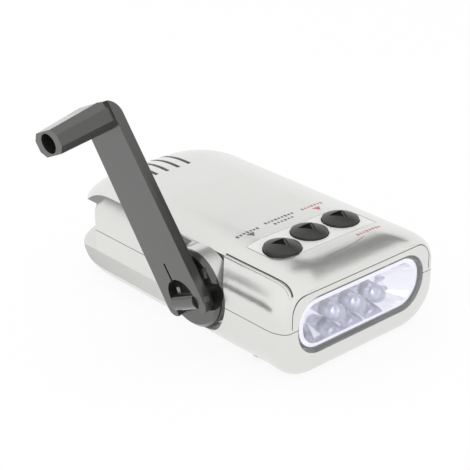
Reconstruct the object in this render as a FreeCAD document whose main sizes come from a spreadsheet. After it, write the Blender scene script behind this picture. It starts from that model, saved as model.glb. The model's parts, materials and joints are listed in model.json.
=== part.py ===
"""Hand crank flashlight, modelled as its separate pieces in millimetres.

The origin is the middle of the base. +X is the right side, the lens faces -Y,
+Z is up, and the crank stands on the left side, -X.
"""
import FreeCAD, Part
import math
import os
import re

import Sketcher

Vector = FreeCAD.Vector
Rotation = FreeCAD.Rotation
Placement = FreeCAD.Placement

doc = FreeCAD.newDocument("flashlight")

# Driving dimensions
SIZES = {
    "case_width": 60.0, "case_length": 97.4, "case_height": 29.6, "wall": 2.0, "parting_height": 16.1,
    "nose_drop": 3.0, "nose_run": 9.2, "nose_inset": 3.2, "nose_corner_run": 6.0,
    "keel_rise": 4.5, "base_trim": 0.3, "keel_run": 5.5, "tail_corner": 20.0, "tail_drop": 9.0,
    "tail_run": 17.0,
    "tail_rise": 6.0, "shoulder_width": 18.0, "shoulder_drop": 9.6, "chine_width": 13.0,
    "chine_height": 13.0, "nose_shoulder_width": 11.0, "nose_shoulder_drop": 8.6,
    "nose_chine_width": 11.0, "nose_chine_height": 9.5,
    "fit_gap": 0.1, "running_gap": 0.05, "seat_gap": 0.3,
    "hub_y": -14.0, "hub_height": 17.0, "crank_lean": 25.2,
    "disc_radius": 11.1, "disc_thick": 6.0, "disc_proud": 0.7, "disc_bevel": 0.9,
    "recess_depth": 6.0, "recess_gap": 0.7, "recess_flare": 1.3,
    "relief_depth": 4.0, "relief_low": 9.5, "relief_high": 22.5, "relief_brow": 27.7,
    "relief_brow_inset": 6.3,
    "relief_foot_run": 3.2, "relief_foot_drop": 4.16,
    "hinge_drop": 2.8, "hinge_stand": 1.8, "barrel_radius": 2.4, "barrel_length": 9.6, "pin_radius": 0.8,
    "arm_splay": 9.4, "arm_reach": 55.0, "arm_thick": 2.9, "arm_root_width": 16.6, "arm_tip_width": 14.4,
    "arm_tail": 3.6, "arm_bend": 5.0, "window_width": 10.2, "window_rise": 2.0,
    "slit_width": 0.7, "slit_length": 5.0, "leg_room": 0.5,
    "grip_length": 17.0, "grip_root_width": 13.2, "grip_root_depth": 8.0, "grip_end_width": 10.6,
    "grip_end_depth": 6.8, "grip_corner_share": 0.27, "grip_bore": 2.8, "grip_bore_depth": 12.0,
    "lug_width": 2.8, "lug_length": 2.8, "lug_out": 6.4, "lug_up": 2.5, "lug_height": 1.0,
    "notch_room": 0.7, "notch_wall": 1.5, "notch_front_room": 5.6, "notch_depth_room": 1.0,
    "lens_half_width": 24.0, "lens_low": 7.0, "lens_high": 23.6, "lens_top_corner": 7.5,
    "lens_low_corner": 8.0,
    "lens_thick": 1.4, "lens_skirt": 1.1, "lens_depth": 6.4, "lens_lip": 0.6, "lens_sink": 0.3,
    "reflector_wall": 0.8, "reflector_depth": 8.6, "reflector_back_half": 15.0,
    "reflector_back_low": 9.2, "reflector_back_high": 17.8,
    "lamp_post_radius": 1.1, "lamp_post_inset": 1.6,
    "led_radius": 2.5, "led_length": 9.0, "led_flange": 2.9, "led_flange_thick": 1.0,
    "led_height": 12.9, "led_first_x": -5.4, "led_pitch": 7.8,
    "board_thick": 1.2,
    "plate_front_y": -36.3, "plate_rear_y": -23.1, "plate_left_x": -18.6, "plate_right_x": 18.0,
    "plate_thick": 1.15, "plate_corner": 6.2,
    "button_radius": 5.15, "button_proud": 0.6, "button_dome": 1.3, "button_gap": 0.25, "button_flange": 5.85,
    "button_flange_thick": 0.8, "button_flange_sink": 1.1, "button_travel": 0.6,
    "button_left_x": -13.0, "button_pitch": 12.05, "button_y": -29.0, "button_left_step": 2.0,
    "mark_width": 5.4, "mark_length": 4.6, "mark_shift": 0.46, "mark_sink": 0.56,
    "switch_side": 6.0, "switch_height": 2.4, "plunger_radius": 1.6, "plunger_proud": 0.7,
    "stake_edge": 1.2, "stake_post": 1.3, "stake_radius": 0.6,
    "slot_width": 1.3, "slot_pitch": 4.2, "slot_count": 4.0, "slot_front_run": 19.5, "slot_end_run": 3.7,
    "tooth_module": 0.5, "drive_teeth": 32.0, "wheel_teeth": 30.0, "pinion_teeth": 10.0, "gear_face": 2.2,
    "tooth_root_share": 0.3, "tooth_tip_share": 0.11, "tooth_tip_height": 0.8,
    "layer_gap": 0.8, "gearbox_left_x": -16.8, "gear_plate_thick": 1.0, "pillar_inset": 2.3,
    "pillar_shift": 0.8,
    "gear_plate_high": 24.4, "gear_plate_front_y": -19.0, "gear_plate_rear_y": 21.0, "mesh_gap": 0.06,
    "shaft_radius": 2.0, "axle_radius": 0.75, "rotor_shaft_radius": 1.0, "hub_wall": 1.2,
    "idler_drop_angle": -30.0, "second_rise_angle": 22.0, "rotor_drop_angle": -11.5,
    "magnet_radius": 6.0, "magnet_length": 7.0, "air_gap": 0.5, "core_radius": 9.6, "can_wall": 0.8,
    "can_length": 11.0, "coil_width": 1.7, "coil_gap": 0.1,
    "pole_count": 6.0,
    "cell_radius": 7.75, "cell_height": 5.8, "cell_count": 3.0, "sleeve_thick": 0.3, "pack_side_gap": 4.45,
    "pack_y": -12.0, "pack_low": 4.2, "cradle_wall": 1.0, "cradle_height": 5.0,
    "board_side_gap": 3.0, "main_board_y": 16.0, "main_board_wide": 15.6, "main_board_long": 27.0,
    "main_board_low": 8.6, "post_radius": 1.9, "post_bore": 0.9,
    "post_edge": 0.6, "part_edge": 1.6,
    "capacitor_radius": 4.0, "capacitor_height": 9.0, "chip_side": 5.0, "chip_height": 1.6,
    "buzzer_radius": 8.5, "buzzer_height": 5.0, "buzzer_x": 8.0, "buzzer_run": 15.2, "buzzer_ring": 1.0,
    "buzzer_ring_depth": 3.4, "buzzer_sink": 3.0,
    "boss_radius": 2.7, "screw_radius": 1.1, "screw_head": 2.0, "screw_head_thick": 1.4, "screw_length": 17.0,
    "screw_sink": 2.6, "small_screw": 0.9, "small_head": 1.6, "small_head_thick": 0.9, "small_length": 5.0,
    "front_boss_inset": 8.2, "front_boss_run": 16.5, "rear_boss_inset": 10.0, "rear_boss_run": 12.2,
    "notch_boss_gap": 2.45, "notch_boss_run": 8.7,
    "bush_wall": 1.4, "bush_length": 3.4, "clip_radius": 3.4, "clip_thick": 0.6,
}

sheet = doc.addObject("Spreadsheet::Sheet", "sizes")
for row, (alias, value) in enumerate(SIZES.items(), start=1):
    sheet.set(f"A{row}", alias)
    sheet.set(f"B{row}", str(value))
    sheet.setAlias(f"B{row}", alias)
workings = doc.addObject("Spreadsheet::Sheet", "workings")
doc.recompute()

NODES = []


def size(alias):
    """The value of one cell of the sheet."""
    return float(getattr(sheet, alias))


def expression(text):
    """An expression in which each cell's alias is looked up in the sheet."""
    return re.sub(r"[a-z][a-z_]+",
                  lambda word: "sizes." + word.group() if word.group() in SIZES else word.group(),
                  str(text))


def bind(thing, **properties):
    """Ties properties of an object to expressions."""
    for name, text in properties.items():
        thing.setExpression(name.replace("__", "."), expression(text))
    return thing


TURNS = {"x": Rotation(Vector(0, 1, 0), 90), "y": Rotation(Vector(1, 0, 0), -90), "z": Rotation()}


def put(thing, x, y, z, axis="z"):
    """Places an object at an expression's point, its own Z along an axis."""
    thing.Placement = Placement(Vector(), TURNS[axis])
    return bind(thing, Placement__Base__x=x, Placement__Base__y=y, Placement__Base__z=z)


def box(name, x, y, z, dx, dy, dz):
    """A box from its low corner and its three sizes."""
    return put(bind(doc.addObject("Part::Box", name), Length=dx, Width=dy, Height=dz), x, y, z)


def rod(name, radius, length, x, y, z, axis="z"):
    """A cylinder that runs from its first end along an axis."""
    return put(bind(doc.addObject("Part::Cylinder", name), Radius=radius, Height=length), x, y, z, axis)


def cone(name, first, last, length, x, y, z, axis="z"):
    """A cone that runs from its first end along an axis."""
    return put(bind(doc.addObject("Part::Cone", name), Radius1=first, Radius2=last, Height=length), x, y, z,
               axis)


def cut(name, base, *tools):
    """A piece with one or more others taken out of it."""
    result = doc.addObject("Part::Cut", name)
    result.Base = base
    result.Tool = tools[0] if len(tools) == 1 else fuse(name + "_tools", *tools)
    return result


def fuse(name, *pieces):
    """Several pieces joined into one."""
    result = doc.addObject("Part::MultiFuse", name)
    result.Shapes = list(pieces)
    return result


def common(name, *pieces):
    """What several pieces share."""
    result = doc.addObject("Part::MultiCommon", name)
    result.Shapes = list(pieces)
    return result


def feature(name, shape, placement=None):
    """A shape made with geometry functions."""
    result = doc.addObject("Part::Feature", name)
    result.Shape = shape
    if placement is not None:
        result.Placement = placement
    return result


def node(piece, label):
    """Names a finished piece of the flashlight."""
    piece.Label = label
    NODES.append(piece)
    return piece


def plane(body, role):
    """One of a body's own origin planes."""
    return [item for item in body.Origin.OriginFeatures if item.Role == role][0]


def sketch(body, name, role, outline=(), circles=(), offset="0"):
    """A sketch of one closed outline of points, or of circles, whose sizes are all expressions."""
    drawing = body.newObject("Sketcher::SketchObject", name)
    drawing.AttachmentSupport = [(plane(body, role), "")]
    drawing.MapMode = "FlatFace"
    drawing.setExpression("AttachmentOffset.Base.z", expression(offset))
    points = [Vector(number(x), number(y), 0) for x, y in outline]
    count = len(points)
    for index in range(count):
        drawing.addGeometry(Part.LineSegment(points[index], points[(index + 1) % count]), False)
    for index in range(count):
        drawing.addConstraint(Sketcher.Constraint("Coincident", index, 2, (index + 1) % count, 1))
    for index, pair in enumerate(outline):
        for kind, letter, text in (("DistanceX", "x", pair[0]), ("DistanceY", "y", pair[1])):
            fix(drawing, Sketcher.Constraint(kind, -1, 1, index, 1, number(text)), f"p{index}{letter}", text)
    for index, (x, y, radius) in enumerate(circles, start=count):
        centre = Vector(number(x), number(y), 0)
        drawing.addGeometry(Part.Circle(centre, Vector(0, 0, 1), number(radius)), False)
        fix(drawing, Sketcher.Constraint("DistanceX", -1, 1, index, 3, number(x)), f"c{index}x", x)
        fix(drawing, Sketcher.Constraint("DistanceY", -1, 1, index, 3, number(y)), f"c{index}y", y)
        fix(drawing, Sketcher.Constraint("Radius", index, number(radius)), f"c{index}r", radius)
    return drawing


def fix(drawing, constraint, name, text):
    """Adds a named constraint whose value follows an expression."""
    drawing.renameConstraint(drawing.addConstraint(constraint), name)
    drawing.setExpression("Constraints." + name, expression(text))


def number(text):
    """An expression's value now, worked out in a sheet of its own so that nothing else is touched."""
    workings.set("A1", "=" + expression(text))
    workings.recompute()
    return float(workings.get("A1"))


def pad(body, name, profile, length, symmetric=False, back=False):
    """Pads a sketch."""
    result = body.newObject("PartDesign::Pad", name)
    result.Profile = profile
    result.SideType = "Symmetric" if symmetric else "One side"
    result.Reversed = back
    return bind(result, Length=length)


def edges_where(body, last, test):
    """Names of the edges of a feature whose middle point passes a test."""
    doc.recompute()
    found = []
    for index, edge in enumerate(last.Shape.Edges, start=1):
        if test(edge):
            found.append(f"Edge{index}")
    return found


def round_edges(body, name, last, names, radius):
    """Rounds named edges of a body's last feature."""
    result = body.newObject("PartDesign::Fillet", name)
    result.Base = (last, names)
    return bind(result, Radius=radius)


# Case form

def quarter(first, corner, last):
    """A quarter of an ellipse between two points, whose sides meet at a corner."""
    curve = Part.BezierCurve()
    curve.setPoles([first, corner, last])
    curve.setWeight(2, math.sqrt(0.5))
    return curve.toBSpline().toShape()


def section(y, half, low, top, shoulder, chine):
    """One cross-section of the case: flat roof, base and sides joined by quarter ellipses."""
    def at(x, z):
        return Vector(x, y, z)

    sides = []
    for start, corner, end in (
            (at(half - chine[0], low), at(half, low), at(half, low + chine[1])),
            (at(half, top - shoulder[1]), at(half, top), at(half - shoulder[0], top)),
            (at(-half + shoulder[0], top), at(-half, top), at(-half, top - shoulder[1])),
            (at(-half, low + chine[1]), at(-half, low), at(-half + chine[0], low))):
        sides.append(quarter(start, corner, end))
    wire = []
    for index, curve in enumerate(sides):
        wire.append(curve)
        following = sides[(index + 1) % len(sides)]
        wire.append(Part.LineSegment(curve.Vertexes[-1].Point, following.Vertexes[0].Point).toShape())
    return Part.Wire(wire)


def sag(part):
    """How far a quarter circle of radius one has dropped, from 0 at its start to 1 at its end."""
    part = min(max(part, 0.0), 1.0)
    return 1.0 - math.sqrt(1.0 - part * part)


def case_skin(name, inset, sunk):
    """The smooth outside of the case, or the same form drawn in by a wall, its base sunk for a flat trim."""
    length = size("case_length")
    half_length = length / 2
    nose_run = size("nose_run")
    tail = size("tail_corner")
    parting = size("parting_height")
    from_nose = [nose_run * part for part in (0.0, 0.03, 0.12, 0.25, 0.42, 0.65, 1.0, 1.8)]
    from_tail = [tail * part for part in (1.3, 1.0, 0.74, 0.5, 0.31, 0.17, 0.07, 0.018, 0.0)]
    middle = [length * part for part in (0.25, 0.33, 0.41, 0.49, 0.57, 0.65)]
    places = from_nose + middle + [length - run for run in from_tail]
    wires = []
    for place in places:
        rest = length - place
        nose = max(1.0 - place / nose_run, 0.0) ** 2
        half = size("case_width") / 2 - size("nose_inset") * sag(1 - place / size("nose_corner_run")) \
            - tail * sag(1 - rest / tail)
        top = size("case_height") - size("nose_drop") * nose \
            - size("tail_drop") * sag(1 - rest / size("tail_run"))
        low = size("keel_rise") * sag(1 - place / size("keel_run")) \
            + size("tail_rise") * sag(1 - rest / size("tail_rise"))
        width_share = half / (size("case_width") / 2)
        top_share = (top - parting) / (size("case_height") - parting)
        low_share = (parting - low) / parting
        shoulder = (blend(size("shoulder_width") * width_share, size("nose_shoulder_width"), nose) - inset,
                    blend(size("shoulder_drop") * top_share, size("nose_shoulder_drop"), nose) - inset)
        chine = (blend(size("chine_width") * width_share, size("nose_chine_width"), nose) - inset,
                 blend(size("chine_height") * low_share, size("nose_chine_height"), nose) - inset)
        y = (place - half_length) * (1 - inset / half_length)
        wires.append(section(y, half - inset, low + inset - sunk, top - inset, shoulder, chine))
    return feature(name, Part.makeLoft(wires, True, False))


def blend(first, last, share):
    """A value part of the way from one to another."""
    return first + (last - first) * share


# Names for places that several pieces share
SIDE_X = "-case_width / 2"
HINGE_X = "-(case_width / 2 + disc_proud + hinge_stand)"
FLOOR_X = "(-case_width / 2 + recess_depth)"
STOW_Y = "(hub_y + hinge_drop + arm_reach)"
NOTCH_END_X = f"({HINGE_X} + arm_thick / 2 + grip_length + notch_depth_room)"
NOTCH_FRONT_Y = f"({STOW_Y} - grip_root_depth / 2 - notch_front_room)"
NOTCH_HALF = "(grip_root_width / 2 + notch_room)"
FAR = "case_width"
PACK_X = "(case_width / 2 - wall - pack_side_gap - cell_radius - sleeve_thick)"
MAIN_BOARD_X = "(case_width / 2 - wall - board_side_gap - main_board_wide / 2)"
BUZZER_Y = "(case_length / 2 - buzzer_run)"

outer = case_skin("case_outside", 0.0, size("base_trim"))
inner = case_skin("case_inside", size("wall"), 0.0)


def relief_outline(shift):
    """Corners of the cut along the left side that the folded arm lies over."""
    deep = f"(-case_width / 2 + relief_depth + {shift})"
    brow = f"(-case_width / 2 + relief_brow_inset + {shift})"
    foot = f"(-case_width / 2 + relief_depth - relief_foot_run + {shift})"
    foot_z = f"(relief_low - relief_foot_drop - {shift})"
    return [(deep, "relief_low"), (deep, "relief_high"), (brow, "relief_brow"), (brow, "case_height + wall"),
            ("-case_width", "case_height + wall"), ("-case_width", foot_z), (foot, foot_z)]


def relief_tool(name, shift):
    """The side cut as a solid that runs from the crank to past the tail."""
    body = doc.addObject("PartDesign::Body", name)
    drawing = sketch(body, name + "_outline", "XZ_Plane", relief_outline(shift),
                     offset=f"-(hub_y - {shift})")
    pad(body, name + "_pad", drawing, FAR, back=True)
    return body


def lens_outline_solid(name, grow, y, depth):
    """A block with the lens's rounded outline, grown on every side."""
    half = size("lens_half_width") + grow
    low = size("lens_low") - grow
    high = size("lens_high") + grow
    top = size("lens_top_corner") + grow
    base = size("lens_low_corner") + grow
    wire = section(y, half, low, high, (top, top), (base, base))
    return Part.Face(wire).extrude(Vector(0, depth, 0))


def make_case_tools():
    """What both shells are cut by, and what thickens their walls behind those cuts."""
    recess_radius = "(disc_radius + recess_gap)"
    recess = cone("recess_bowl", f"{recess_radius} + recess_flare * 2", recess_radius, "recess_depth * 2",
                  f"{FLOOR_X} - recess_depth * 2", "hub_y", "hub_height", "x")
    recess_back = rod("recess_backing", f"{recess_radius} + recess_flare + notch_wall",
                      "recess_depth * 2 + notch_wall", f"{FLOOR_X} - recess_depth * 2", "hub_y",
                      "hub_height", "x")
    notch = box("grip_notch", "-case_width", NOTCH_FRONT_Y, f"hub_height - {NOTCH_HALF}",
                f"case_width + {NOTCH_END_X}", FAR, f"2 * {NOTCH_HALF}")
    notch_back = box("notch_backing", "-case_width", f"{NOTCH_FRONT_Y} - notch_wall",
                     f"hub_height - {NOTCH_HALF} - notch_wall",
                     f"case_width + {NOTCH_END_X} + notch_wall", FAR, f"2 * {NOTCH_HALF} + 2 * notch_wall")
    window = feature("lens_window", lens_outline_solid("window", size("fit_gap"), -size("case_length"),
                                                       size("case_length") / 2 + size("lens_depth")))
    shaft_hole = rod("shaft_hole", "shaft_radius + bush_wall + running_gap", "case_width / 2",
                     SIDE_X, "hub_y", "hub_height", "x")
    cutters = [recess, notch, relief_tool("side_relief", "0"), window, shaft_hole]
    backings = [recess_back, notch_back, relief_tool("relief_backing", "wall")]
    return cutters, backings


BUTTONS = {"left": ("button_left_x", "button_y - button_left_step"),
           "middle": ("button_left_x + button_pitch", "button_y"),
           "right": ("button_left_x + 2 * button_pitch", "button_y")}
BOSSES = {"front_left": ("-(case_width / 2 - front_boss_inset)", "(front_boss_run - case_length / 2)"),
          "front_right": ("(case_width / 2 - front_boss_inset)", "(front_boss_run - case_length / 2)"),
          "rear_left": (f"({NOTCH_END_X} + notch_wall + notch_boss_gap + boss_radius)",
                        "(case_length / 2 - notch_boss_run)"),
          "rear_right": ("(case_width / 2 - rear_boss_inset)", "(case_length / 2 - rear_boss_run)")}
PLATE_FLOOR = "(case_height - plate_thick)"
FLANGE_TOP = "(case_height - wall - button_flange_sink)"
SWITCH_TOP = f"({FLANGE_TOP} - button_flange_thick - running_gap - plunger_proud)"
SWITCH_BOARD_TOP = f"({SWITCH_TOP} - switch_height)"
STAKES = (("(button_left_x + button_pitch / 2)", "(plate_front_y + stake_edge)"),
          ("(button_left_x + button_pitch * 1.5)", "(plate_front_y + stake_edge)"),
          ("(plate_right_x - stake_edge)", "(plate_rear_y - stake_edge / 2)"))


def plate_prism(name, grow):
    """The outline of the button plate, square at two corners and round at the other two."""
    body = doc.addObject("PartDesign::Body", name)
    left, right = f"plate_left_x - {grow}", f"plate_right_x + {grow}"
    front, rear = f"plate_front_y - {grow}", f"plate_rear_y + {grow}"
    drawing = sketch(body, name + "_outline", "XY_Plane",
                     [(left, front), (right, front), (right, rear), (left, rear)],
                     offset=PLATE_FLOOR)
    block = pad(body, name + "_pad", drawing, "wall * 2")

    def upright_at(edge):
        middle = edge.CenterOfMass
        upright = abs(edge.tangentAt(edge.FirstParameter).z) > 0.9
        front_left = middle.x < 0 and middle.y < number("(plate_front_y + plate_rear_y) / 2")
        rear_right = middle.x > 0 and middle.y > number("(plate_front_y + plate_rear_y) / 2")
        return upright and (front_left or rear_right)

    round_edges(body, name + "_corners", block, edges_where(body, block, upright_at), "plate_corner")
    return body


def button_holes(name, grow):
    """Three round cutters, one at each button."""
    return fuse(name,
                *[rod(f"{name}_{which}", f"button_radius + {grow}", "wall * 4", x, y,
                      "case_height - wall * 3")
                        for which, (x, y) in BUTTONS.items()])


def make_shell(label, low, high, inside, cutters):
    """One half of the case: the outside form, less its hollow and less what is cut through it."""
    hollow = cut(label + "_hollow", inner, *CASE_BACKINGS, *inside)
    half = common(label + "_half", outer, box(label + "_space", "-case_width", "-case_length", low,
                                              "2 * case_width", "2 * case_length", f"{high} - {low}"))
    return node(cut(label + "_solid", half, hollow, *CASE_CUTTERS, *cutters), label)


def make_upper_shell():
    """Top half: button holes, the plate's seat, sound slots, screw bosses and the buzzer's seat."""
    slots = []
    for index in range(int(size("slot_count"))):
        x = f"(({index} - (slot_count - 1) / 2) * slot_pitch - slot_width / 2)"
        slots.append(box(f"sound_slot_{index}", x, "case_length / 2 - slot_front_run",
                         "case_height - wall * 3",
                         "slot_width", "slot_front_run - slot_end_run", "wall * 4"))
    bosses = [rod(f"upper_boss_{which}", "boss_radius", "case_height", x, y, "parting_height")
              for which, (x, y) in BOSSES.items()]
    ring_low = f"{BUZZER_TOP} - buzzer_ring_depth"
    ring = cut("buzzer_ring", rod("buzzer_ring_outer", "buzzer_radius + fit_gap + buzzer_ring", "case_height",
                                  "buzzer_x", BUZZER_Y, ring_low),
               rod("buzzer_ring_bore", "buzzer_radius + fit_gap", "buzzer_ring_depth + fit_gap",
                   "buzzer_x", BUZZER_Y, ring_low),
               rod("buzzer_ring_vent", "buzzer_radius - buzzer_ring", "2 * case_height",
                   "buzzer_x", BUZZER_Y, ring_low))
    holes = [rod(f"upper_screw_hole_{which}", "screw_radius + running_gap", "screw_length",
                 x, y, "screw_sink + fit_gap") for which, (x, y) in BOSSES.items()]
    stakes = [rod(f"stake_post_{index}", "stake_post", "case_height", x, y, SWITCH_BOARD_TOP)
              for index, (x, y) in enumerate(STAKES)]
    stakes += [rod(f"stake_pin_{index}", "stake_radius", "case_height", x, y,
                   f"{SWITCH_BOARD_TOP} - board_thick - seat_gap") for index, (x, y) in enumerate(STAKES)]
    make_shell("upper_shell", "parting_height", "case_height", bosses + stakes + [ring],
               slots + holes + [plate_prism("plate_seat", "fit_gap"),
                                button_holes("button_hole", "button_gap")])


def make_lower_shell():
    """Bottom half: screw bosses with sunk heads, the battery cradle and the board posts."""
    bosses = [rod(f"lower_boss_{which}", "boss_radius + notch_wall / 2", "parting_height + case_height",
                  x, y, "-case_height") for which, (x, y) in BOSSES.items()]
    seat = "(cell_radius + sleeve_thick + fit_gap)"
    cradle = cut("cradle",
                 rod("cradle_outer", f"{seat} + cradle_wall", "pack_low + cradle_height + case_height",
                               PACK_X, "pack_y", "-case_height"),
                 rod("cradle_bore", seat, "case_height", PACK_X, "pack_y", "pack_low"))
    posts = [rod(f"board_post_{index}", "post_radius", "main_board_low + case_height", x, y, "-case_height")
             for index, (x, y) in enumerate(BOARD_POSTS)]
    holes = [rod(f"lower_screw_hole_{which}", "screw_radius + fit_gap", "case_height", x, y, "0")
             for which, (x, y) in BOSSES.items()]
    holes += [rod(f"screw_head_hole_{which}", "screw_head + fit_gap", "case_height + screw_sink",
                  x, y, "-case_height") for which, (x, y) in BOSSES.items()]
    holes += [rod(f"post_bore_{index}", "post_bore", "main_board_low", x, y, "wall * 1.5")
              for index, (x, y) in enumerate(BOARD_POSTS)]
    make_shell("lower_shell", "0", "parting_height", bosses + [cradle] + posts, holes)


BUZZER_TOP = "(case_height - wall - buzzer_sink)"
BOARD_POSTS = tuple((f"({MAIN_BOARD_X} + {side} * (main_board_wide / 2 - post_radius - post_edge))",
                     f"(main_board_y + {side} * (main_board_long / 2 - post_radius - post_edge))")
                    for side in (-1, 1))
CASE_CUTTERS, CASE_BACKINGS = make_case_tools()

make_upper_shell()
make_lower_shell()


# Front: lens, reflector and lamps

def make_lens():
    """Clear cover with a skirt behind it and a lip that holds it in the shells."""
    front = -size("case_length") / 2 + size("lens_sink")
    depth = size("lens_depth")
    body = feature("lens_block", lens_outline_solid("lens", 0, front, depth))
    lip_y = -size("case_length") / 2 + size("wall") + size("fit_gap")
    lip = feature("lens_rim", lens_outline_solid("rim", size("lens_lip"), lip_y, size("lens_lip")))
    hollow = feature("lens_hollow",
                     lens_outline_solid("hollow", -size("lens_skirt"), front + size("lens_thick"), depth))
    return node(cut("lens_solid", fuse("lens_blank", body, lip), hollow), "lens")


def reflector_form(name, grow, front, back):
    """A block that narrows from the lens's outline to the reflector's back wall."""
    inset = size("lens_skirt") + size("fit_gap") - grow
    near = section(front, size("lens_half_width") - inset, size("lens_low") + inset,
                   size("lens_high") - inset,
                   (size("lens_top_corner") - inset,) * 2, (size("lens_low_corner") - inset,) * 2)
    low = size("reflector_back_low") - grow
    high = size("reflector_back_high") + grow
    corner = (high - low) / 3
    far = section(back, size("reflector_back_half") + grow, low, high, (corner, corner), (corner, corner))
    return feature(name, Part.makeLoft([near, far], True, True))


LAMPS = ("left", "middle", "right")


def lamp_x(index):
    """Where a lamp's axis is, from the left."""
    return f"(led_first_x + {index} * led_pitch)"


def make_reflector():
    """Bright bowl behind the lens, with a hole for each lamp and two posts for the lamp board."""
    front = -size("case_length") / 2 + size("lens_sink") + size("lens_thick") + size("fit_gap")
    back = front + size("reflector_depth")
    wall = size("reflector_wall")
    bowl = reflector_form("reflector_outside", 0.0, front, back)
    hollow = reflector_form("reflector_inside", -wall, front - wall, back - wall)
    sunk = "reflector_wall / 2"
    posts = [rod(f"lamp_board_post_{side}", "lamp_post_radius",
                 f"{LAMP_BOARD_Y} - {REFLECTOR_BACK_Y} + {sunk}",
                 f"{side} * (reflector_back_half - lamp_post_inset)", f"{REFLECTOR_BACK_Y} - {sunk}",
                 "reflector_back_high - lamp_post_inset", "y") for side in (-1, 1)]
    holes = [rod(f"lamp_hole_{index}", "led_radius + fit_gap", "reflector_depth", lamp_x(index),
                 f"{REFLECTOR_BACK_Y} - reflector_depth / 2", "led_height",
                 "y") for index in range(len(LAMPS))]
    shell = cut("reflector_shell", bowl, hollow)
    return node(cut("reflector_solid", fuse("reflector_blank", shell, *posts), *holes), "reflector")


REFLECTOR_BACK_Y = "(-case_length / 2 + lens_sink + lens_thick + fit_gap + reflector_depth)"
LAMP_BOARD_Y = f"({REFLECTOR_BACK_Y} + fit_gap + led_flange_thick)"


def make_lamps():
    """Three domed lamps on one board."""
    for index, which in enumerate(LAMPS):
        x = lamp_x(index)
        straight = "(led_length - led_radius)"
        barrel = rod(f"lamp_barrel_{which}", "led_radius", straight, x, f"{LAMP_BOARD_Y} - {straight}",
                     "led_height", "y")
        dome = put(bind(doc.addObject("Part::Sphere", f"lamp_dome_{which}"), Radius="led_radius"),
                   x, f"{LAMP_BOARD_Y} - {straight}", "led_height")
        flange = rod(f"lamp_flange_{which}", "led_flange", "led_flange_thick", x,
                     f"{LAMP_BOARD_Y} - led_flange_thick", "led_height", "y")
        node(fuse(f"lamp_{which}", barrel, dome, flange), f"led_{which}")
    board = box("lamp_board", "-reflector_back_half", LAMP_BOARD_Y, "reflector_back_low - wall / 2",
                "2 * reflector_back_half", "board_thick", "reflector_back_high - reflector_back_low + wall")
    return node(board, "led_board")


# Buttons and their switches

def make_buttons():
    """Three domed caps with an arrow mark, each over a switch whose plunger moves with it."""
    for which, (x, y) in BUTTONS.items():
        top = "(case_height + button_proud)"
        stem = rod(f"cap_stem_{which}", "button_radius", f"{top} - {FLANGE_TOP} + button_flange_thick / 2",
                   x, y, f"{FLANGE_TOP} - button_flange_thick / 2")
        flange = rod(f"cap_flange_{which}", "button_flange", "button_flange_thick", x, y,
                     f"{FLANGE_TOP} - button_flange_thick")
        globe = "((button_radius ^ 2 + button_dome ^ 2) / (2 * button_dome))"
        ball = put(bind(doc.addObject("Part::Sphere", f"cap_ball_{which}"), Radius=globe), x, y,
                   f"{top} + button_dome - {globe}")
        dome = common(f"cap_dome_{which}", ball, rod(f"cap_dome_trim_{which}", "button_radius",
                                                     "button_dome + button_proud", x, y,
                                                     f"{top} - button_proud"))
        body = doc.addObject("PartDesign::Body", f"cap_mark_{which}")
        rear = f"{y} + mark_length / 2 - mark_shift"
        arrow = [(f"{x} - mark_width / 2", rear), (f"{x}", f"{y} - mark_length / 2 - mark_shift"),
                 (f"{x} + mark_width / 2", rear)]
        drawing = sketch(body, f"cap_mark_outline_{which}", "XY_Plane", arrow,
                         offset=f"{top} + button_dome - mark_sink")
        pad(body, f"cap_mark_pad_{which}", drawing, "button_dome * 2")
        node(cut(f"cap_{which}", fuse(f"cap_blank_{which}", stem, flange, dome), body), f"button_{which}")
        switch = box(f"switch_block_{which}", f"{x} - switch_side / 2", f"{y} - switch_side / 2",
                     SWITCH_BOARD_TOP,
                     "switch_side", "switch_side", "switch_height")
        well = rod(f"switch_well_{which}", "plunger_radius + running_gap", "switch_height", x, y,
                   f"{SWITCH_TOP} - button_travel * 2")
        node(cut(f"switch_{which}_body", switch, well), f"switch_{which}")
        node(rod(f"plunger_{which}", "plunger_radius", "button_travel + plunger_proud - running_gap", x, y,
                 f"{SWITCH_TOP} - button_travel + running_gap"), f"plunger_{which}")
    board = box("switch_board_block", "plate_left_x", "plate_front_y - stake_edge",
                f"{SWITCH_BOARD_TOP} - board_thick",
                "plate_right_x - plate_left_x", "plate_rear_y - plate_front_y + 2 * stake_edge",
                "board_thick")
    stakes = [rod(f"stake_hole_{index}", "stake_radius + fit_gap", "board_thick * 3", x, y,
                  f"{SWITCH_BOARD_TOP} - board_thick * 2") for index, (x, y) in enumerate(STAKES)]
    node(cut("switch_board_solid", board, *stakes), "switch_board")
    plate = common("plate_blank", outer, plate_prism("plate_outline", "0"))
    return node(cut("plate_solid", plate, button_holes("plate_hole", "button_gap")), "button_plate")


# Crank

def hub_frame():
    """The crank disc's own frame: origin at its front face, local Z up the arm as seen from the side."""
    return Placement(Vector(number(f"{SIDE_X} - disc_proud"), size("hub_y"), size("hub_height")),
                     Rotation(Vector(1, 0, 0), -size("crank_lean")))


def arm_frame():
    """The arm's own frame: origin on the hinge axis, local Y along it, local Z up the arm."""
    to_hinge = Placement(Vector(-size("hinge_stand"), 0, -size("hinge_drop")),
                         Rotation(Vector(0, 1, 0), -size("arm_splay")))
    return hub_frame().multiply(to_hinge)


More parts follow.
